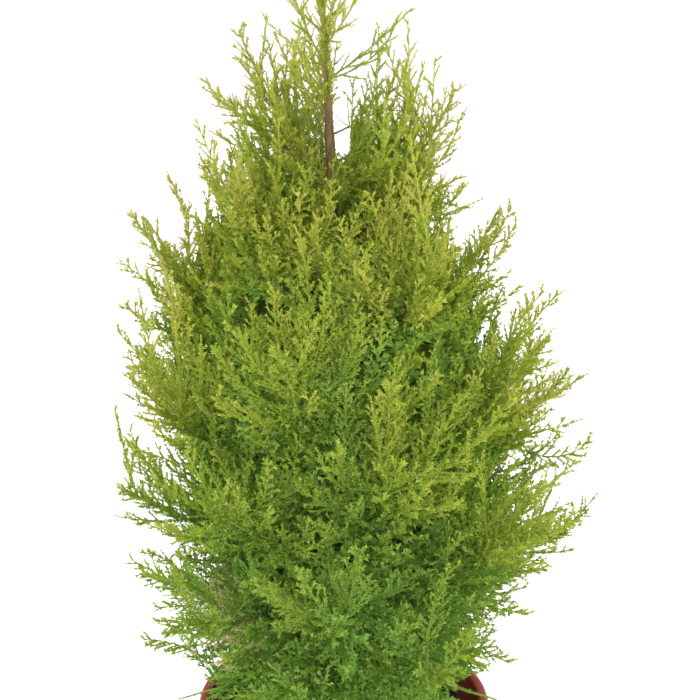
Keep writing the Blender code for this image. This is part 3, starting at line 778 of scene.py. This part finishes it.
# The crown's solid body as a share of its reach, each BODY_STEP up the left and the right, and its
# narrower skirt at the rim.
BODY_STEP = 0.03
LEFT_BODY = (
    0.83, 0.83, 0.85, 0.78, 0.66, 0.77, 0.82, 0.86, 0.83, 0.85, 0.88, 0.86,
    0.93, 0.89, 0.90, 0.71, 0.64, 0.74, 0.70, 0.78, 0.63, 0.52, 0.46,
)
RIGHT_BODY = (
    0.86, 0.92, 0.88, 0.82, 0.79, 0.87, 0.90, 0.84, 0.89, 0.79, 0.76, 0.69,
    0.86, 0.82, 0.68, 0.54, 0.65, 0.69, 0.80, 0.73, 0.79, 0.90, 0.78,
)
FRONT_BODY = 0.90
SKIRT_HEIGHT = 0.09
SKIRT_REACH = (0.134, 0.112)

# The source's rule for a plume, and the heights of the leader's leafy stretch.
SHOOT_SEED = 29
SHARES_ALONG = 25
FIRST_SHOOT = 0.22
BARE_SHARE = 0.06
TURN_UP = 0.38
LONGEST_SHOOT = 0.125
SHORTER = (0.42, 0.55, 0.7, 0.85, 1.0)
LEADER_DRESS = (0.590, 0.640, 0.690)
UP = np.array((0.0, 0.0, 1.0))


def from_trunk(points):
    """Each point's distance from the trunk's axis, and the cosine of its turn about it from the right."""
    offset = points[..., :2] - trunk_axis(points[..., 2])[..., :2]
    away = np.hypot(offset[..., 0], offset[..., 1])
    return away, offset[..., 0] / np.maximum(away, 1e-9)


def reach_of(points, less=0.0):
    """How far out each point is, as a share: its distance from the trunk over the crown's reach there."""
    height = points[..., 2] - POT_HEIGHT
    away, across = from_trunk(points)
    reach = crown_reach(height, across) - less
    over = height + less > OUTLINE_HEIGHTS[-1]
    return np.where(over, 9.0, away / np.maximum(reach, 1e-3))


def body_share(heights, across):
    """The crown's solid body as a share of its reach: notched left and right, even at front and back."""
    levels = 0.02 + BODY_STEP * np.arange(len(LEFT_BODY))
    left, right = (np.interp(heights, levels, side) for side in (LEFT_BODY, RIGHT_BODY))
    return FRONT_BODY + (np.where(across < 0, left, right) - FRONT_BODY) * across**2


def body_there(points):
    """The body's share of the crown's reach at each point's height and turn."""
    return body_share(points[..., 2] - POT_HEIGHT, from_trunk(points)[1])


def depth_of(points):
    """How far out each point is in the crown's body, scaled so that the body's face is alike all round."""
    return reach_of(points) * FRONT_BODY / body_there(points)


def way_out(roots, headings, longest, beyond, less=0.0, steps=60):
    """The length of straight shoots that end a share beyond the crown's body: the first step outside."""
    ways = np.linspace(0, longest, steps)
    points = roots[:, None] + ways[None, :, None] * headings[:, None]
    inside = reach_of(points, less) < np.minimum(body_there(points) + beyond, 1)
    return np.where(inside.all(axis=1), ways[-1], ways[np.argmin(inside, axis=1)])


def distance_to_limb(points, line):
    """The distance from each point to a line of short segments."""
    starts, steps = line[:-1], np.diff(line, axis=0)
    offset = points[:, None] - starts[None]
    along = np.clip((offset * steps).sum(-1) / (steps**2).sum(-1), 0, 1)
    return np.linalg.norm(offset - along[..., None] * steps, axis=-1).min(axis=1)


def clear_of_wood(points, clearance=0.004):
    """True for points that are clear of the trunk and of the pot's rim."""
    away = from_trunk(points)[0]
    free = (points[..., 2] > TRUNK_TOP) | (away > trunk_radius(points[..., 2]) + clearance)
    over_pot = np.hypot(points[..., 0], points[..., 1]) < RIM_RADIUS + 0.003
    return free & (~over_pot | (points[..., 2] > POT_HEIGHT + 0.003))


def in_window(points):
    """True for points in the openings, which run back through the crown as the camera looks.

    One is beside the stem, below its tip. The others are over the rim's left and right ends.
    """
    from_stem = points[..., 0] - trunk_axis(points[..., 2])[..., 0]
    level = points[..., 2] - POT_HEIGHT + WINDOW_FALL * points[..., 1]
    high = (from_stem > WINDOW_EDGE) & (from_stem < WINDOW_EDGE + WINDOW_WIDTH)
    high &= (level > WINDOW[0]) & (level < WINDOW[1])
    left, right = RIM_WINDOWS
    return high | (level < RIM_WINDOW_TOP) & ((points[..., 0] < left) | (points[..., 0] > right))


crown_lines = [*limb_grid, trunk_axis(np.linspace(TRUNK_TOP, CROWN_TOP, 9))]


def own_share(points, own):
    """True for points nearer their own limb than any other, and clear of the trunk and the pot."""
    nearest = distance_to_limb(points, crown_lines[own])
    free = clear_of_wood(points)
    for other, line in enumerate(crown_lines):
        if other != own:
            free &= distance_to_limb(points, line) > nearest
    return free


def shoots_of(own, count, angle):
    """The source's rule for one plume: roots up its stem by even shares, turned by the golden angle."""
    if own == LIMBS:
        stem = trunk_axis(np.linspace(TRUNK_TOP, CROWN_TOP, SHARES_ALONG))
    else:
        limb = (rows[own : own + 1] for rows in (limb_foot, limb_bend, limb_tip))
        start = FIRST_SHOOT if own < BOUGHS else 0.0
        stem = curve(*limb, np.linspace(start, 1, SHARES_ALONG)[None])[0]
    way = unit(np.gradient(stem, axis=0))
    side = np.cross(way[0], UP)
    side = np.array((1.0, 0, 0)) if np.linalg.norm(side) < 0.2 else side
    side = squared(side[None], way)
    up = np.cross(side, way)
    draw = np.random.default_rng(SHOOT_SEED + own)
    phase = draw.uniform(0, 2 * math.pi)
    chance = draw.random((count, 3))
    number = np.arange(count)
    at = (BARE_SHARE + (1 - BARE_SHARE) * number / count) * (SHARES_ALONG - 1)
    root, along, s, u = (
        np.stack([np.interp(at, np.arange(SHARES_ALONG), line[:, k]) for k in range(3)], axis=-1)
        for line in (stem, way, side, up)
    )
    turn = phase + number * GOLDEN_ANGLE + (chance[:, 0] - 0.5) * 0.5
    spread = angle * (1 + (chance[:, 1] - 0.5) * 0.3)
    outwards = leaning(s, u, turn)
    heading = unit(leaning(along, outwards, spread) + TURN_UP * UP)
    long = way_out(root, heading, LONGEST_SHOOT, 0.14) * (0.86 + 0.2 * chance[:, 2])
    kept = np.zeros(count)
    steps = np.linspace(0.25, 1, 5)
    for shorter in SHORTER:
        tips = root[:, None] + steps[None, :, None] * (long * shorter)[:, None, None] * heading[:, None]
        free = own_share(tips.reshape(-1, 3), own).reshape(count, -1).all(axis=1)
        kept = np.where(free, long * shorter, kept)
    good = kept > 0.010
    return root[good], heading[good], unit(np.cross(heading, outwards))[good], kept[good]


class Axes:
    """Many curved axes at once: foot, bend and tip points, the flat side's direction, plume and sun.

    plume is the number of the limb that an axis belongs to, and sun is chance that tints it.
    """

    keys = ("foot", "bend", "tip", "flat", "plume", "sun")

    def __init__(self, *rows):
        for key, row in zip(self.keys, rows):
            setattr(self, key, row)
        self.length = np.linalg.norm(self.tip - self.foot, axis=1)

    def picked(self, chosen):
        """The chosen axes alone."""
        return Axes(*[getattr(self, key)[chosen] for key in self.keys])


def joined_axes(*groups):
    """The axes of several groups in one, in their order."""
    return Axes(*[np.concatenate([getattr(group, key) for group in groups]) for key in Axes.keys])


def filling_shoots(count, between, uneven, length, seed, lean, body=True):
    """Shoots whose tips share the crown out evenly between two shares of its reach, by the golden angle.

    Its outer half runs straight the preferred way, which rises as the limbs' tips do plus lean degrees.
    It grows from the point of a limb or the trunk nearest to where a straight shoot would start.
    """
    draw = np.random.default_rng(seed)
    levels = np.linspace(-0.005, 0.735, 240)
    reach = sum(np.interp(levels, OUTLINE_HEIGHTS, side) for side in (LEFT_REACH, RIGHT_REACH)) / 2
    spread = np.cumsum(reach * np.interp(levels, OUTLINE_HEIGHTS, FULLNESS))
    number = np.arange(count)
    heights = np.interp((number + 0.5) / count * spread[-1], spread, levels)
    turn = number * GOLDEN_ANGLE + draw.uniform(-0.15, 0.15, count)
    out = between[0] + (between[1] - between[0]) * draw.uniform(0, 1, count) ** uneven
    out *= np.interp(heights, (0.0, 0.05), (0.80, 1.0))
    if body:
        out *= body_share(heights, np.cos(turn))
    reach = crown_reach(heights, np.cos(turn)) * out
    outwards = level_ways(turn)
    tip = trunk_axis(POT_HEIGHT + heights) + outwards * reach[:, None]
    tip[:, 2] += (1 - out) * 0.04
    lean = lean * np.interp(heights, (0.04, 0.22), (0.2, 1.0))
    lean -= 15 * np.clip(np.cos(turn), 0, 1) * np.interp(heights, (0.10, 0.28), (1, 0))
    rise = np.radians(np.minimum(np.interp(heights, OUTLINE_HEIGHTS, TIP_RISE) + lean, 80))
    preferred = leaning(outwards, UP, rise)
    trunk_line = trunk_axis(np.linspace(POT_HEIGHT + 0.01, CROWN_TOP - 0.03, 70))
    limb_line = limb_grid[:, 2:-5]
    places = np.concatenate([limb_line.reshape(-1, 3), trunk_line])
    owner = np.repeat(np.arange(LIMBS + 1), [limb_line.shape[1]] * LIMBS + [len(trunk_line)])
    preferred += draw.normal(0, 0.14, preferred.shape)
    start = tip - length * preferred + draw.normal(0, 0.010, tip.shape)
    best = np.argmin(np.linalg.norm(start[:, None] - places[None], axis=-1), axis=1)
    root = places[best]
    size = np.linalg.norm(tip - root, axis=1)
    flat = unit(np.cross(tip - root, outwards + 0.001))
    nearest = np.argmin(np.linalg.norm(limb_grid[:, 16][None] - tip[:, None], axis=-1), axis=1)
    plume = np.where((owner[best] == LIMBS) & (heights < 0.6), nearest, owner[best])
    bend = tip - 0.55 * size[:, None] * preferred
    rows = root, bend, tip, flat, plume, draw.normal(0, 1, count)
    level = heights - 0.35 * reach
    facing = np.sin(turn) < (-0.3 if between[1] < 1 else -0.94)
    in_gap = (level > STEM_GAP[0]) & (level < STEM_GAP[1]) & facing
    good = (size > 0.012) & ~in_gap
    return [row[good] for row in rows]


def above_skirt(points):
    """True for points in the crown's foot that keep within its narrower reach there, left and right."""
    height = np.clip((points[:, 2] - POT_HEIGHT) / SKIRT_HEIGHT, 0, 1)
    away, across = from_trunk(points)
    return (height >= 1) | (away < round_about(*SKIRT_REACH, across) + 0.06 * height)


def in_crown(rows):
    """True for shoots that end above the skirt and keep out of the openings."""
    along = curve(*rows[:3], np.linspace(0.1, 1, 8)[None].repeat(len(rows[0]), 0))
    return above_skirt(rows[2]) & ~in_window(along).any(axis=1)


def all_shoots():
    """The first shoots of all plumes: the source's own, then outer and inner ones between them."""
    draw = np.random.default_rng(83)
    rows = []
    for own in range(LIMBS + 1):
        root, heading, flat, long = shoots_of(own, SHOOTS, math.radians(60.0 if own == LIMBS else 44.0))
        tip = root + heading * long[:, None]
        bend = (root + tip) / 2 - 0.09 * long[:, None] * UP
        rows.append((root, bend, tip, flat, np.full(len(root), own), draw.normal(0, 1, len(root))))
    rows.append(filling_shoots(OUTER_SHOOTS, OUTER_SHARES, 1.9, OUTER_LENGTH, 57, 9))
    rows.append(filling_shoots(INNER_SHOOTS, INNER_SHARES, 0.7, INNER_LENGTH, 58, 28))
    rows = [np.concatenate(part) for part in zip(*rows)]
    return Axes(*rows).picked(in_crown(rows))


def standing_shoots():
    """Single shoots that stand out of the crown's body all round, and reach its outline."""
    rows = filling_shoots(STANDING_SHOOTS, STANDING_SHARES, 1.0, STANDING_LENGTH, 59, 6, body=False)
    return Axes(*rows).picked(in_crown(rows) & (rows[2][:, 2] < POT_HEIGHT + STANDING_TOP))


def numbered(counts):
    """For so many items on each parent: each item's parent, and its number there from 0."""
    own = np.repeat(np.arange(len(counts)), counts)
    return own, np.arange(len(own)) - np.repeat(np.cumsum(counts) - counts, counts)


def side_axes(
    parents, seed, *, pitch, bare, angle, share, least, shortest, longest, less, wild, beyond=0.08
):
    """Branchlets or twigs along parent axes, alternately left and right in the parent's flat.

    They start a bare share up the parent, a pitch apart, and leave it at an angle in degrees. Their
    length is share times the parent's way still to go, plus least, cut at the outline. wild turns
    them out of the flat. less draws the outline in, and beyond lets them out of the crown's body.
    """
    draw = np.random.default_rng(seed)
    thin = np.interp(parents.tip[:, 2] - POT_HEIGHT, (0.52, 0.66), (1.0, 0.72))
    counts = np.floor((1 - bare) * parents.length / pitch * thin).astype(int)
    own, number = numbered(counts)
    at = bare + (1 - bare) * (number + draw.uniform(0.15, 0.85, len(own))) / counts[own]
    foot, bend, tip = parents.foot[own], parents.bend[own], parents.tip[own]
    root = curve(foot, bend, tip, at[:, None])[:, 0]
    along = way_along(foot, bend, tip, at[:, None])[:, 0]
    side = squared(parents.flat[own], along)
    roll = draw.normal(0, wild, len(own)) + np.where((number + own) % 2, math.pi, 0.0)
    outwards = leaning(side, np.cross(along, side), roll)
    spread = math.radians(angle) * draw.uniform(0.8, 1.2, len(own))
    lift = np.interp(root[:, 2] - POT_HEIGHT, (0.05, 0.25), (0.04, 0.22))[:, None] * UP
    heading = unit(leaning(along, outwards, spread) + lift)
    long = (share * (1 - at) * parents.length[own] + least) * draw.uniform(0.65, 1.15, len(own))
    long = np.minimum(long, way_out(root, heading, longest, beyond, less, 14))
    tips = root + heading * long[:, None]
    good = (long > shortest) & clear_of_wood(tips, 0.002) & ~in_window(tips) & ~in_window((root + tips) / 2)
    root, heading, long, outwards, along, own, tips = (
        rows[good] for rows in (root, heading, long, outwards, along, own, tips)
    )
    flat = squared(outwards, heading)
    bend = (root + tips) / 2 - 0.07 * long[:, None] * UP + 0.05 * long[:, None] * along
    sun = parents.sun[own] + draw.normal(0, 0.5, len(own))
    return Axes(root, bend, tips, flat, parents.plume[own], sun)


shoots = all_shoots()
standing = standing_shoots()
stems = np.concatenate([limb_foot, trunk_axis([TRUNK_TOP])])
stem_bends = np.concatenate([limb_bend, trunk_axis([(TRUNK_TOP + CROWN_TOP) / 2])])
stem_tips = np.concatenate([limb_tip, trunk_axis([CROWN_TOP])])
limb_ends = Axes(
    curve(stems, stem_bends, stem_tips, np.full((LIMBS + 1, 1), 0.5))[:, 0],
    (stem_bends + stem_tips) / 2,
    stem_tips,
    np.concatenate([flat_across, [(1.0, 0, 0)]]),
    np.arange(LIMBS + 1),
    np.zeros(LIMBS + 1),
)
low_leader = Axes(
    *[trunk_axis([POT_HEIGHT + height]) for height in LEADER_DRESS],
    np.array([(1.0, 0, 0)]),
    np.array([LIMBS]),
    np.zeros(1),
)

BRANCHLET = {"shortest": 0.004, "longest": 0.05}
OUTER_BRANCHLET = {**BRANCHLET, "less": -0.007, "beyond": 1.0}
TWIG = {"share": 0.34, "least": 0.0026, "shortest": 0.0030, "longest": 0.02, "wild": 0.6}
OUTER_TWIG = {**TWIG, "less": -0.009, "beyond": 1.0}

branchlets = side_axes(
    shoots, 97, pitch=0.005, bare=0.1, angle=38, share=0.23, least=0.008, less=-0.008, wild=0.6, **BRANCHLET
)
stem_branchlets = side_axes(
    limb_ends, 92, pitch=0.0026, bare=0.0, angle=36, share=0.26, least=0.012, wild=1.2, **OUTER_BRANCHLET
)
standing_branchlets = side_axes(
    standing, 95, pitch=0.0040, bare=0.10, angle=38, share=0.25, least=0.0095, wild=0.9, **OUTER_BRANCHLET
)
leader_branchlets = side_axes(
    low_leader, 98, pitch=0.0020, bare=0.0, angle=36, share=0.10, least=0.010, wild=1.6, **OUTER_BRANCHLET
)
twigs = side_axes(branchlets, 93, pitch=0.0080, bare=0.25, angle=36, less=-0.008, **TWIG)
stem_twigs = side_axes(stem_branchlets, 94, pitch=0.0060, bare=0.20, angle=40, **OUTER_TWIG)
standing_twigs = side_axes(standing_branchlets, 96, pitch=0.0070, bare=0.20, angle=38, **OUTER_TWIG)
leader_twigs = side_axes(leader_branchlets, 99, pitch=0.0060, bare=0.20, angle=40, **OUTER_TWIG)


DRY_PATCH = np.array((-0.112, -0.040, POT_HEIGHT + 0.124))
DRY_PATCH_RADIUS = 0.042
INNER_DEPTH = 0.58
GREENS = (
    ("foliage_deep_green", (0.190, 0.365, 0.055)),
    ("foliage_green", (0.228, 0.378, 0.050)),
    ("foliage_fresh_green", (0.285, 0.400, 0.045)),
    ("foliage_yellow_green", (0.338, 0.424, 0.044)),
    ("foliage_lime", (0.425, 0.452, 0.060)),
    ("foliage_pale_lime", (0.470, 0.470, 0.115)),
)
OTHER_TINTS = (
    ("shoot_brown", (0.30, 0.220, 0.100)),
    ("shoot_tan", (0.45, 0.330, 0.160)),
    ("foliage_dry_tan", (0.60, 0.580, 0.270)),
    # The two inner greens are painted light: lighter than the shade deep in the crown allows, standing in for
    # light through the needles.
    ("foliage_inner_painted_light_green", (0.375, 0.595, 0.100)),
    ("foliage_inner_painted_light_yellow", (0.460, 0.595, 0.092)),
)
LEVELS = len(GREENS)
BROWN, TAN, DRY_TAN, INNER_PAINTED_LIGHT_GREEN, INNER_PAINTED_LIGHT_YELLOW = range(LEVELS, LEVELS + len(OTHER_TINTS))
foliage_finishes = [new_finish(name, 0.6, 0.22, colour)[0] for name, colour in GREENS]
foliage_finishes += [new_finish(name, 0.7, 0.3, colour)[0] for name, colour in OTHER_TINTS]


def tints_of(place, sun, tips):
    """Which green a spray is: paler towards the crown's outside, its top and the shoot's tip, plus chance.

    Sprays deep in the crown take one of two lighter greens, which are painted light in the shade there, and
    those round the dry patch are tan. Outer sprays at the left and right are paler still, the right most:
    painted light, as if lit from behind.
    """
    depth = depth_of(place)
    height = place[..., 2] - POT_HEIGHT
    out = np.clip((depth - 0.4) / 0.5, 0, 1)
    high = np.clip(height / 0.7, 0, 1)
    at_sides = np.clip((np.abs(place[..., 0]) - 0.06) / 0.12, 0, 1)
    # Painted light: outer sprays at the crown's left and right sides are paler, the right side more, as if
    # lit from behind.
    painted_side_light = (0.20 * at_sides + 0.07 * np.clip(place[..., 0] / 0.2, 0, 1)) * out
    value = -0.34 + 0.34 * out + 0.80 * high + painted_side_light + 0.05 * sun + 0.16 * tips + 0.13 * lumps(place, 0.11, 61)
    value = value + 0.16 * (1 - out) * np.clip((height - 0.44) / 0.08, 0, 1)
    tint = np.clip(np.floor(value * LEVELS), 0, LEVELS - 1).astype(int)
    shade = depth + 0.05 * sun + 1.0 * (place[..., 2] > POT_HEIGHT + 0.50)
    # Painted light: sprays deep in the crown below its top take two lighter greens, standing in for light
    # that shines through the needles into the shade.
    tint = np.where(shade < INNER_DEPTH, np.where(value > 0.28, INNER_PAINTED_LIGHT_YELLOW, INNER_PAINTED_LIGHT_GREEN), tint)
    from_patch = np.linalg.norm(place - DRY_PATCH, axis=-1) / DRY_PATCH_RADIUS
    dry = from_patch + 0.30 * lumps(place, 0.02, 64) + 0.30 * sun < 0.95
    return np.where(dry, DRY_TAN, tint)


def axis_tubes(axes, ring_count, sides, root_radius, tip_radius):
    """Tubes for many axes at once, tapering evenly from root to tip."""
    t = np.linspace(0, 1, ring_count)[None].repeat(len(axes.length), 0)
    centres = curve(axes.foot, axes.bend, axes.tip, t)
    radii = root_radius[:, None] * (1 - t) + tip_radius * t
    points, faces, _ = tube_mesh(centres, axes.flat, radii[..., None].repeat(sides, 2))
    return points, faces[0], centres, t


def blades(axes, root_radius):
    """Two crossed slim triangles for each axis: two corners beside the foot and one at the tip."""
    way = unit(axes.tip - axes.foot)
    sides = np.stack([axes.flat, np.cross(way, axes.flat)], axis=1) * root_radius
    foot, tip = axes.foot[:, None], axes.tip[:, None] + 0 * sides
    points = np.stack([foot - sides, foot + sides, tip], axis=2).reshape(-1, 3)
    return points, np.arange(len(points)).reshape(-1, 3)


STEM_SIDES = 3
STEM_RINGS = 6
BRANCHLET_RADIUS = 0.0007

shoots = joined_axes(shoots, standing)
root_radii = 0.0004 + 0.0042 * shoots.length
points, faces, centres, t = axis_tubes(shoots, STEM_RINGS, STEM_SIDES, root_radii, 0.0003)
middle = (centres[:, 1:] + centres[:, :-1]) / 2
share_along = (t[:, 1:] + t[:, :-1]) / 2
green = tints_of(middle, shoots.sun[:, None], share_along)
green = np.where(green < LEVELS - 2, green + 1, green)
high = np.clip((middle[..., 2] - POT_HEIGHT - 0.56) / 0.12, 0, 1)
woody = reach_of(middle) * (1 - 0.6 * high) + 0.5 * share_along + 0.06 * shoots.sun[:, None]
tint = np.where(woody < 0.30, BROWN, np.where(woody < 0.50, TAN, green))
stem_tint = np.repeat(tint.ravel(), STEM_SIDES)
shoot_stems = surface("shoot_stems", points, [faces], foliage_finishes, stem_tint, smooth=True)
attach(shoot_stems, "root")

fine = joined_axes(branchlets, stem_branchlets, standing_branchlets, leader_branchlets)
points, faces = blades(fine, BRANCHLET_RADIUS)
blade_tint = np.repeat(tints_of((fine.foot + fine.tip) / 2, fine.sun, 0.3), 2)
branchlet_stems = surface("branchlet_stems", points, [faces], foliage_finishes, blade_tint, smooth=False)
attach(branchlet_stems, "root")


# The needles.
# Soft young needles sit in crossed pairs along every green twig, lean towards its tip and close
# round it. Each is one slim flat triangle. They turn from green to lime outwards, and are longer
# and wider apart deep in the crown, where their lighter greens are painted light in the shade.

NEEDLE_LENGTH = 0.0033
NEEDLE_PITCH = 0.00166
NEEDLE_BASE = 1.6
NEEDLE_TWIST = 0.0007
FIRST_NEEDLE = 0.05
INNER_GROWTH = 1.0
TIERS = ((0, 8), (8, 16), (16, 23), (23, 29), (29, 34))


def needle_rows(axes, seed):
    """Crossed pairs along axes: the three corners of each needle, its axis, and its place there.

    A needle leaves its twig at 38 degrees near the foot and 30 at the tip. Its base runs along the
    twig from 1.6 half pitches below its root to 1.6 above, and its third corner is its tip.
    """
    draw = np.random.default_rng(seed)
    middle = (axes.foot + axes.tip) / 2
    level = middle[:, 2] - POT_HEIGHT
    deep = np.clip((0.72 - depth_of(middle)) / 0.25, 0, 1)
    inside = 1 + INNER_GROWTH * (deep * np.clip((POT_HEIGHT + 0.54 - middle[:, 2]) / 0.08, 0, 1))
    closer = np.interp(level, (0.50, 0.62), (1.0, 0.72))
    covered = 1 - FIRST_NEEDLE
    pairs = np.floor(covered * axes.length / (NEEDLE_PITCH * inside * closer))
    pairs = np.maximum(pairs, 1).astype(int)
    own, number = numbered(pairs)
    half = 0.5 * covered / pairs[own]
    at = FIRST_NEEDLE + covered * (number + 0.5) / pairs[own]
    foot, bend, tip = axes.foot[own], axes.bend[own], axes.tip[own]
    t = np.stack([at - NEEDLE_BASE * half, at + NEEDLE_BASE * half], axis=1)
    low, high = np.moveaxis(curve(foot, bend, tip, t), 1, 0)
    along = way_along(foot, bend, tip, at[:, None])[:, 0]
    side = squared(axes.flat[own], along)
    roll = number * math.pi / 2 + draw.normal(0, 0.35, len(own)) + own * 2.4
    outwards = leaning(side, np.cross(along, side), roll)
    outwards = np.stack([outwards, -outwards], axis=1)
    lean = np.radians(38 - 8 * at)[:, None] * draw.uniform(0.8, 1.25, (len(own), 2))
    heading = leaning(along[:, None], outwards, lean)
    wide = np.cross(heading, outwards)
    twist = draw.uniform(-NEEDLE_TWIST, NEEDLE_TWIST, (len(own), 2, 1))
    wide *= twist / np.linalg.norm(wide, axis=-1, keepdims=True)
    fuller = 1 + 0.22 * np.clip((reach_of(middle) - 0.80) / 0.12, 0, 1)
    fuller = fuller * np.interp(level, (0.50, 0.68), (1.0, 0.92))
    long = NEEDLE_LENGTH * (fuller * inside)[own] * (1 - 0.15 * at**2)
    long = long[:, None] * draw.uniform(0.75, 1.25, (len(own), 2))
    root = (low + high) / 2
    tips = root[:, None] + heading * long[..., None]
    return np.stack([low[:, None] - wide, high[:, None] + wide, tips], axis=2), own, at, root


def add_needles(name, axes, seed, nodes):
    """One piece of joined needles that stands for some of the part's plumes."""
    corners, own, at, root = needle_rows(axes, seed)
    chance = np.random.default_rng(seed + 1).normal(0, 0.35, len(own))
    pair_tint = tints_of(root, axes.sun[own] + chance, at)
    points = corners.reshape(-1, 3)
    faces = np.arange(len(points)).reshape(-1, 3)
    made = surface(name, points, [faces], foliage_finishes, np.repeat(pair_tint, 2), smooth=False)
    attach(made, "root")
    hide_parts(*nodes)


needled = joined_axes(
    *(branchlets, stem_branchlets, standing_branchlets, twigs, stem_twigs, standing_twigs),
    *(shoots, limb_ends, leader_branchlets, leader_twigs, low_leader),
)
masses = [f"foliage_{number + 1:02d}" for number in range(LIMBS)] + ["foliage_leader"]
for tier, (low, high) in enumerate(TIERS):
    chosen = (needled.plume >= low) & (needled.plume < high)
    add_needles(f"needles_tier_{tier + 1}", needled.picked(chosen), 200 + tier, masses[low:high])


# The floor, the light and the camera.
# A white sweep under even, soft studio light: a bright surround and six softboxes. The camera looks
# down on the plant from in front, placed by the pot rim's ellipse.

FLOOR_EDGE = 30.0
SENSOR_WIDTH = 36.0
FOCAL_PIXELS = 2292.9
PICTURE_PIXELS = 700

# Each softbox's place, turn in degrees, width in metres and power in watts.
SOFTBOXES = (
    ("key_softbox", (-1.6, -1.8, 2.9), (38, 0, -42), 2.2, 6.0),
    ("front_softbox", (0.1, -2.7, 1.9), (62, 0, 2), 1.0, 19.0),
    ("side_softbox_left", (-2.4, -0.2, 1.1), (78, 0, -85), 1.8, 26.0),
    ("side_softbox_right", (2.4, -0.3, 1.1), (78, 0, 83), 1.8, 28.0),
    ("back_softbox_left", (-1.7, 1.7, 2.0), (-52, 0, 45), 1.6, 28.0),
    ("back_softbox_right", (1.9, 1.6, 2.0), (-52, 0, -50), 1.6, 32.0),
)

floor_points = np.array([(-1, -1, 0), (1, -1, 0), (1, 1, 0), (-1, 1, 0)]) * FLOOR_EDGE - (0, 0, 0.0005)
paper, paper_tree = new_finish("white_paper", 0.9, 0.1)
whites = {"Tone": (0.97, 0.97, 0.97), "Deeper_Tone": (0.96, 0.96, 0.96)}
paper_tone = with_group(paper_tree, mottling, **whites, Scale=3.0, Fine_Share=0.5)["Colour"]
shows(paper_tree, Base_Color=paper_tone)
floor = surface("floor", floor_points, [np.array([(0, 1, 2, 3)])], [paper], smooth=False)

world = bpy.data.worlds.new("soft_studio")
world.use_nodes = True
world.node_tree.nodes["Background"].inputs["Color"].default_value = (1.0, 1.0, 1.0, 1)
world.node_tree.nodes["Background"].inputs["Strength"].default_value = 1.06
bpy.context.scene.world = world

for name, place, turn, size, power in SOFTBOXES:
    lamp = bpy.data.lights.new(name, "AREA")
    lamp.shape, lamp.size, lamp.energy = "SQUARE", size, power
    holder = bpy.data.objects.new(name, lamp)
    holder.location = place
    holder.rotation_euler = [math.radians(angle) for angle in turn]
    bpy.context.scene.collection.objects.link(holder)

lens = bpy.data.cameras.new("camera")
lens.sensor_width = SENSOR_WIDTH
lens.lens = FOCAL_PIXELS * SENSOR_WIDTH / PICTURE_PIXELS
camera = bpy.data.objects.new("camera", lens)
camera.location = (0.006, -1.9, 1.425)
camera.rotation_euler = (math.radians(66.4), 0, 0)
bpy.context.scene.collection.objects.link(camera)
bpy.context.scene.camera = camera
bpy.context.scene.view_settings.view_transform = "Standard"
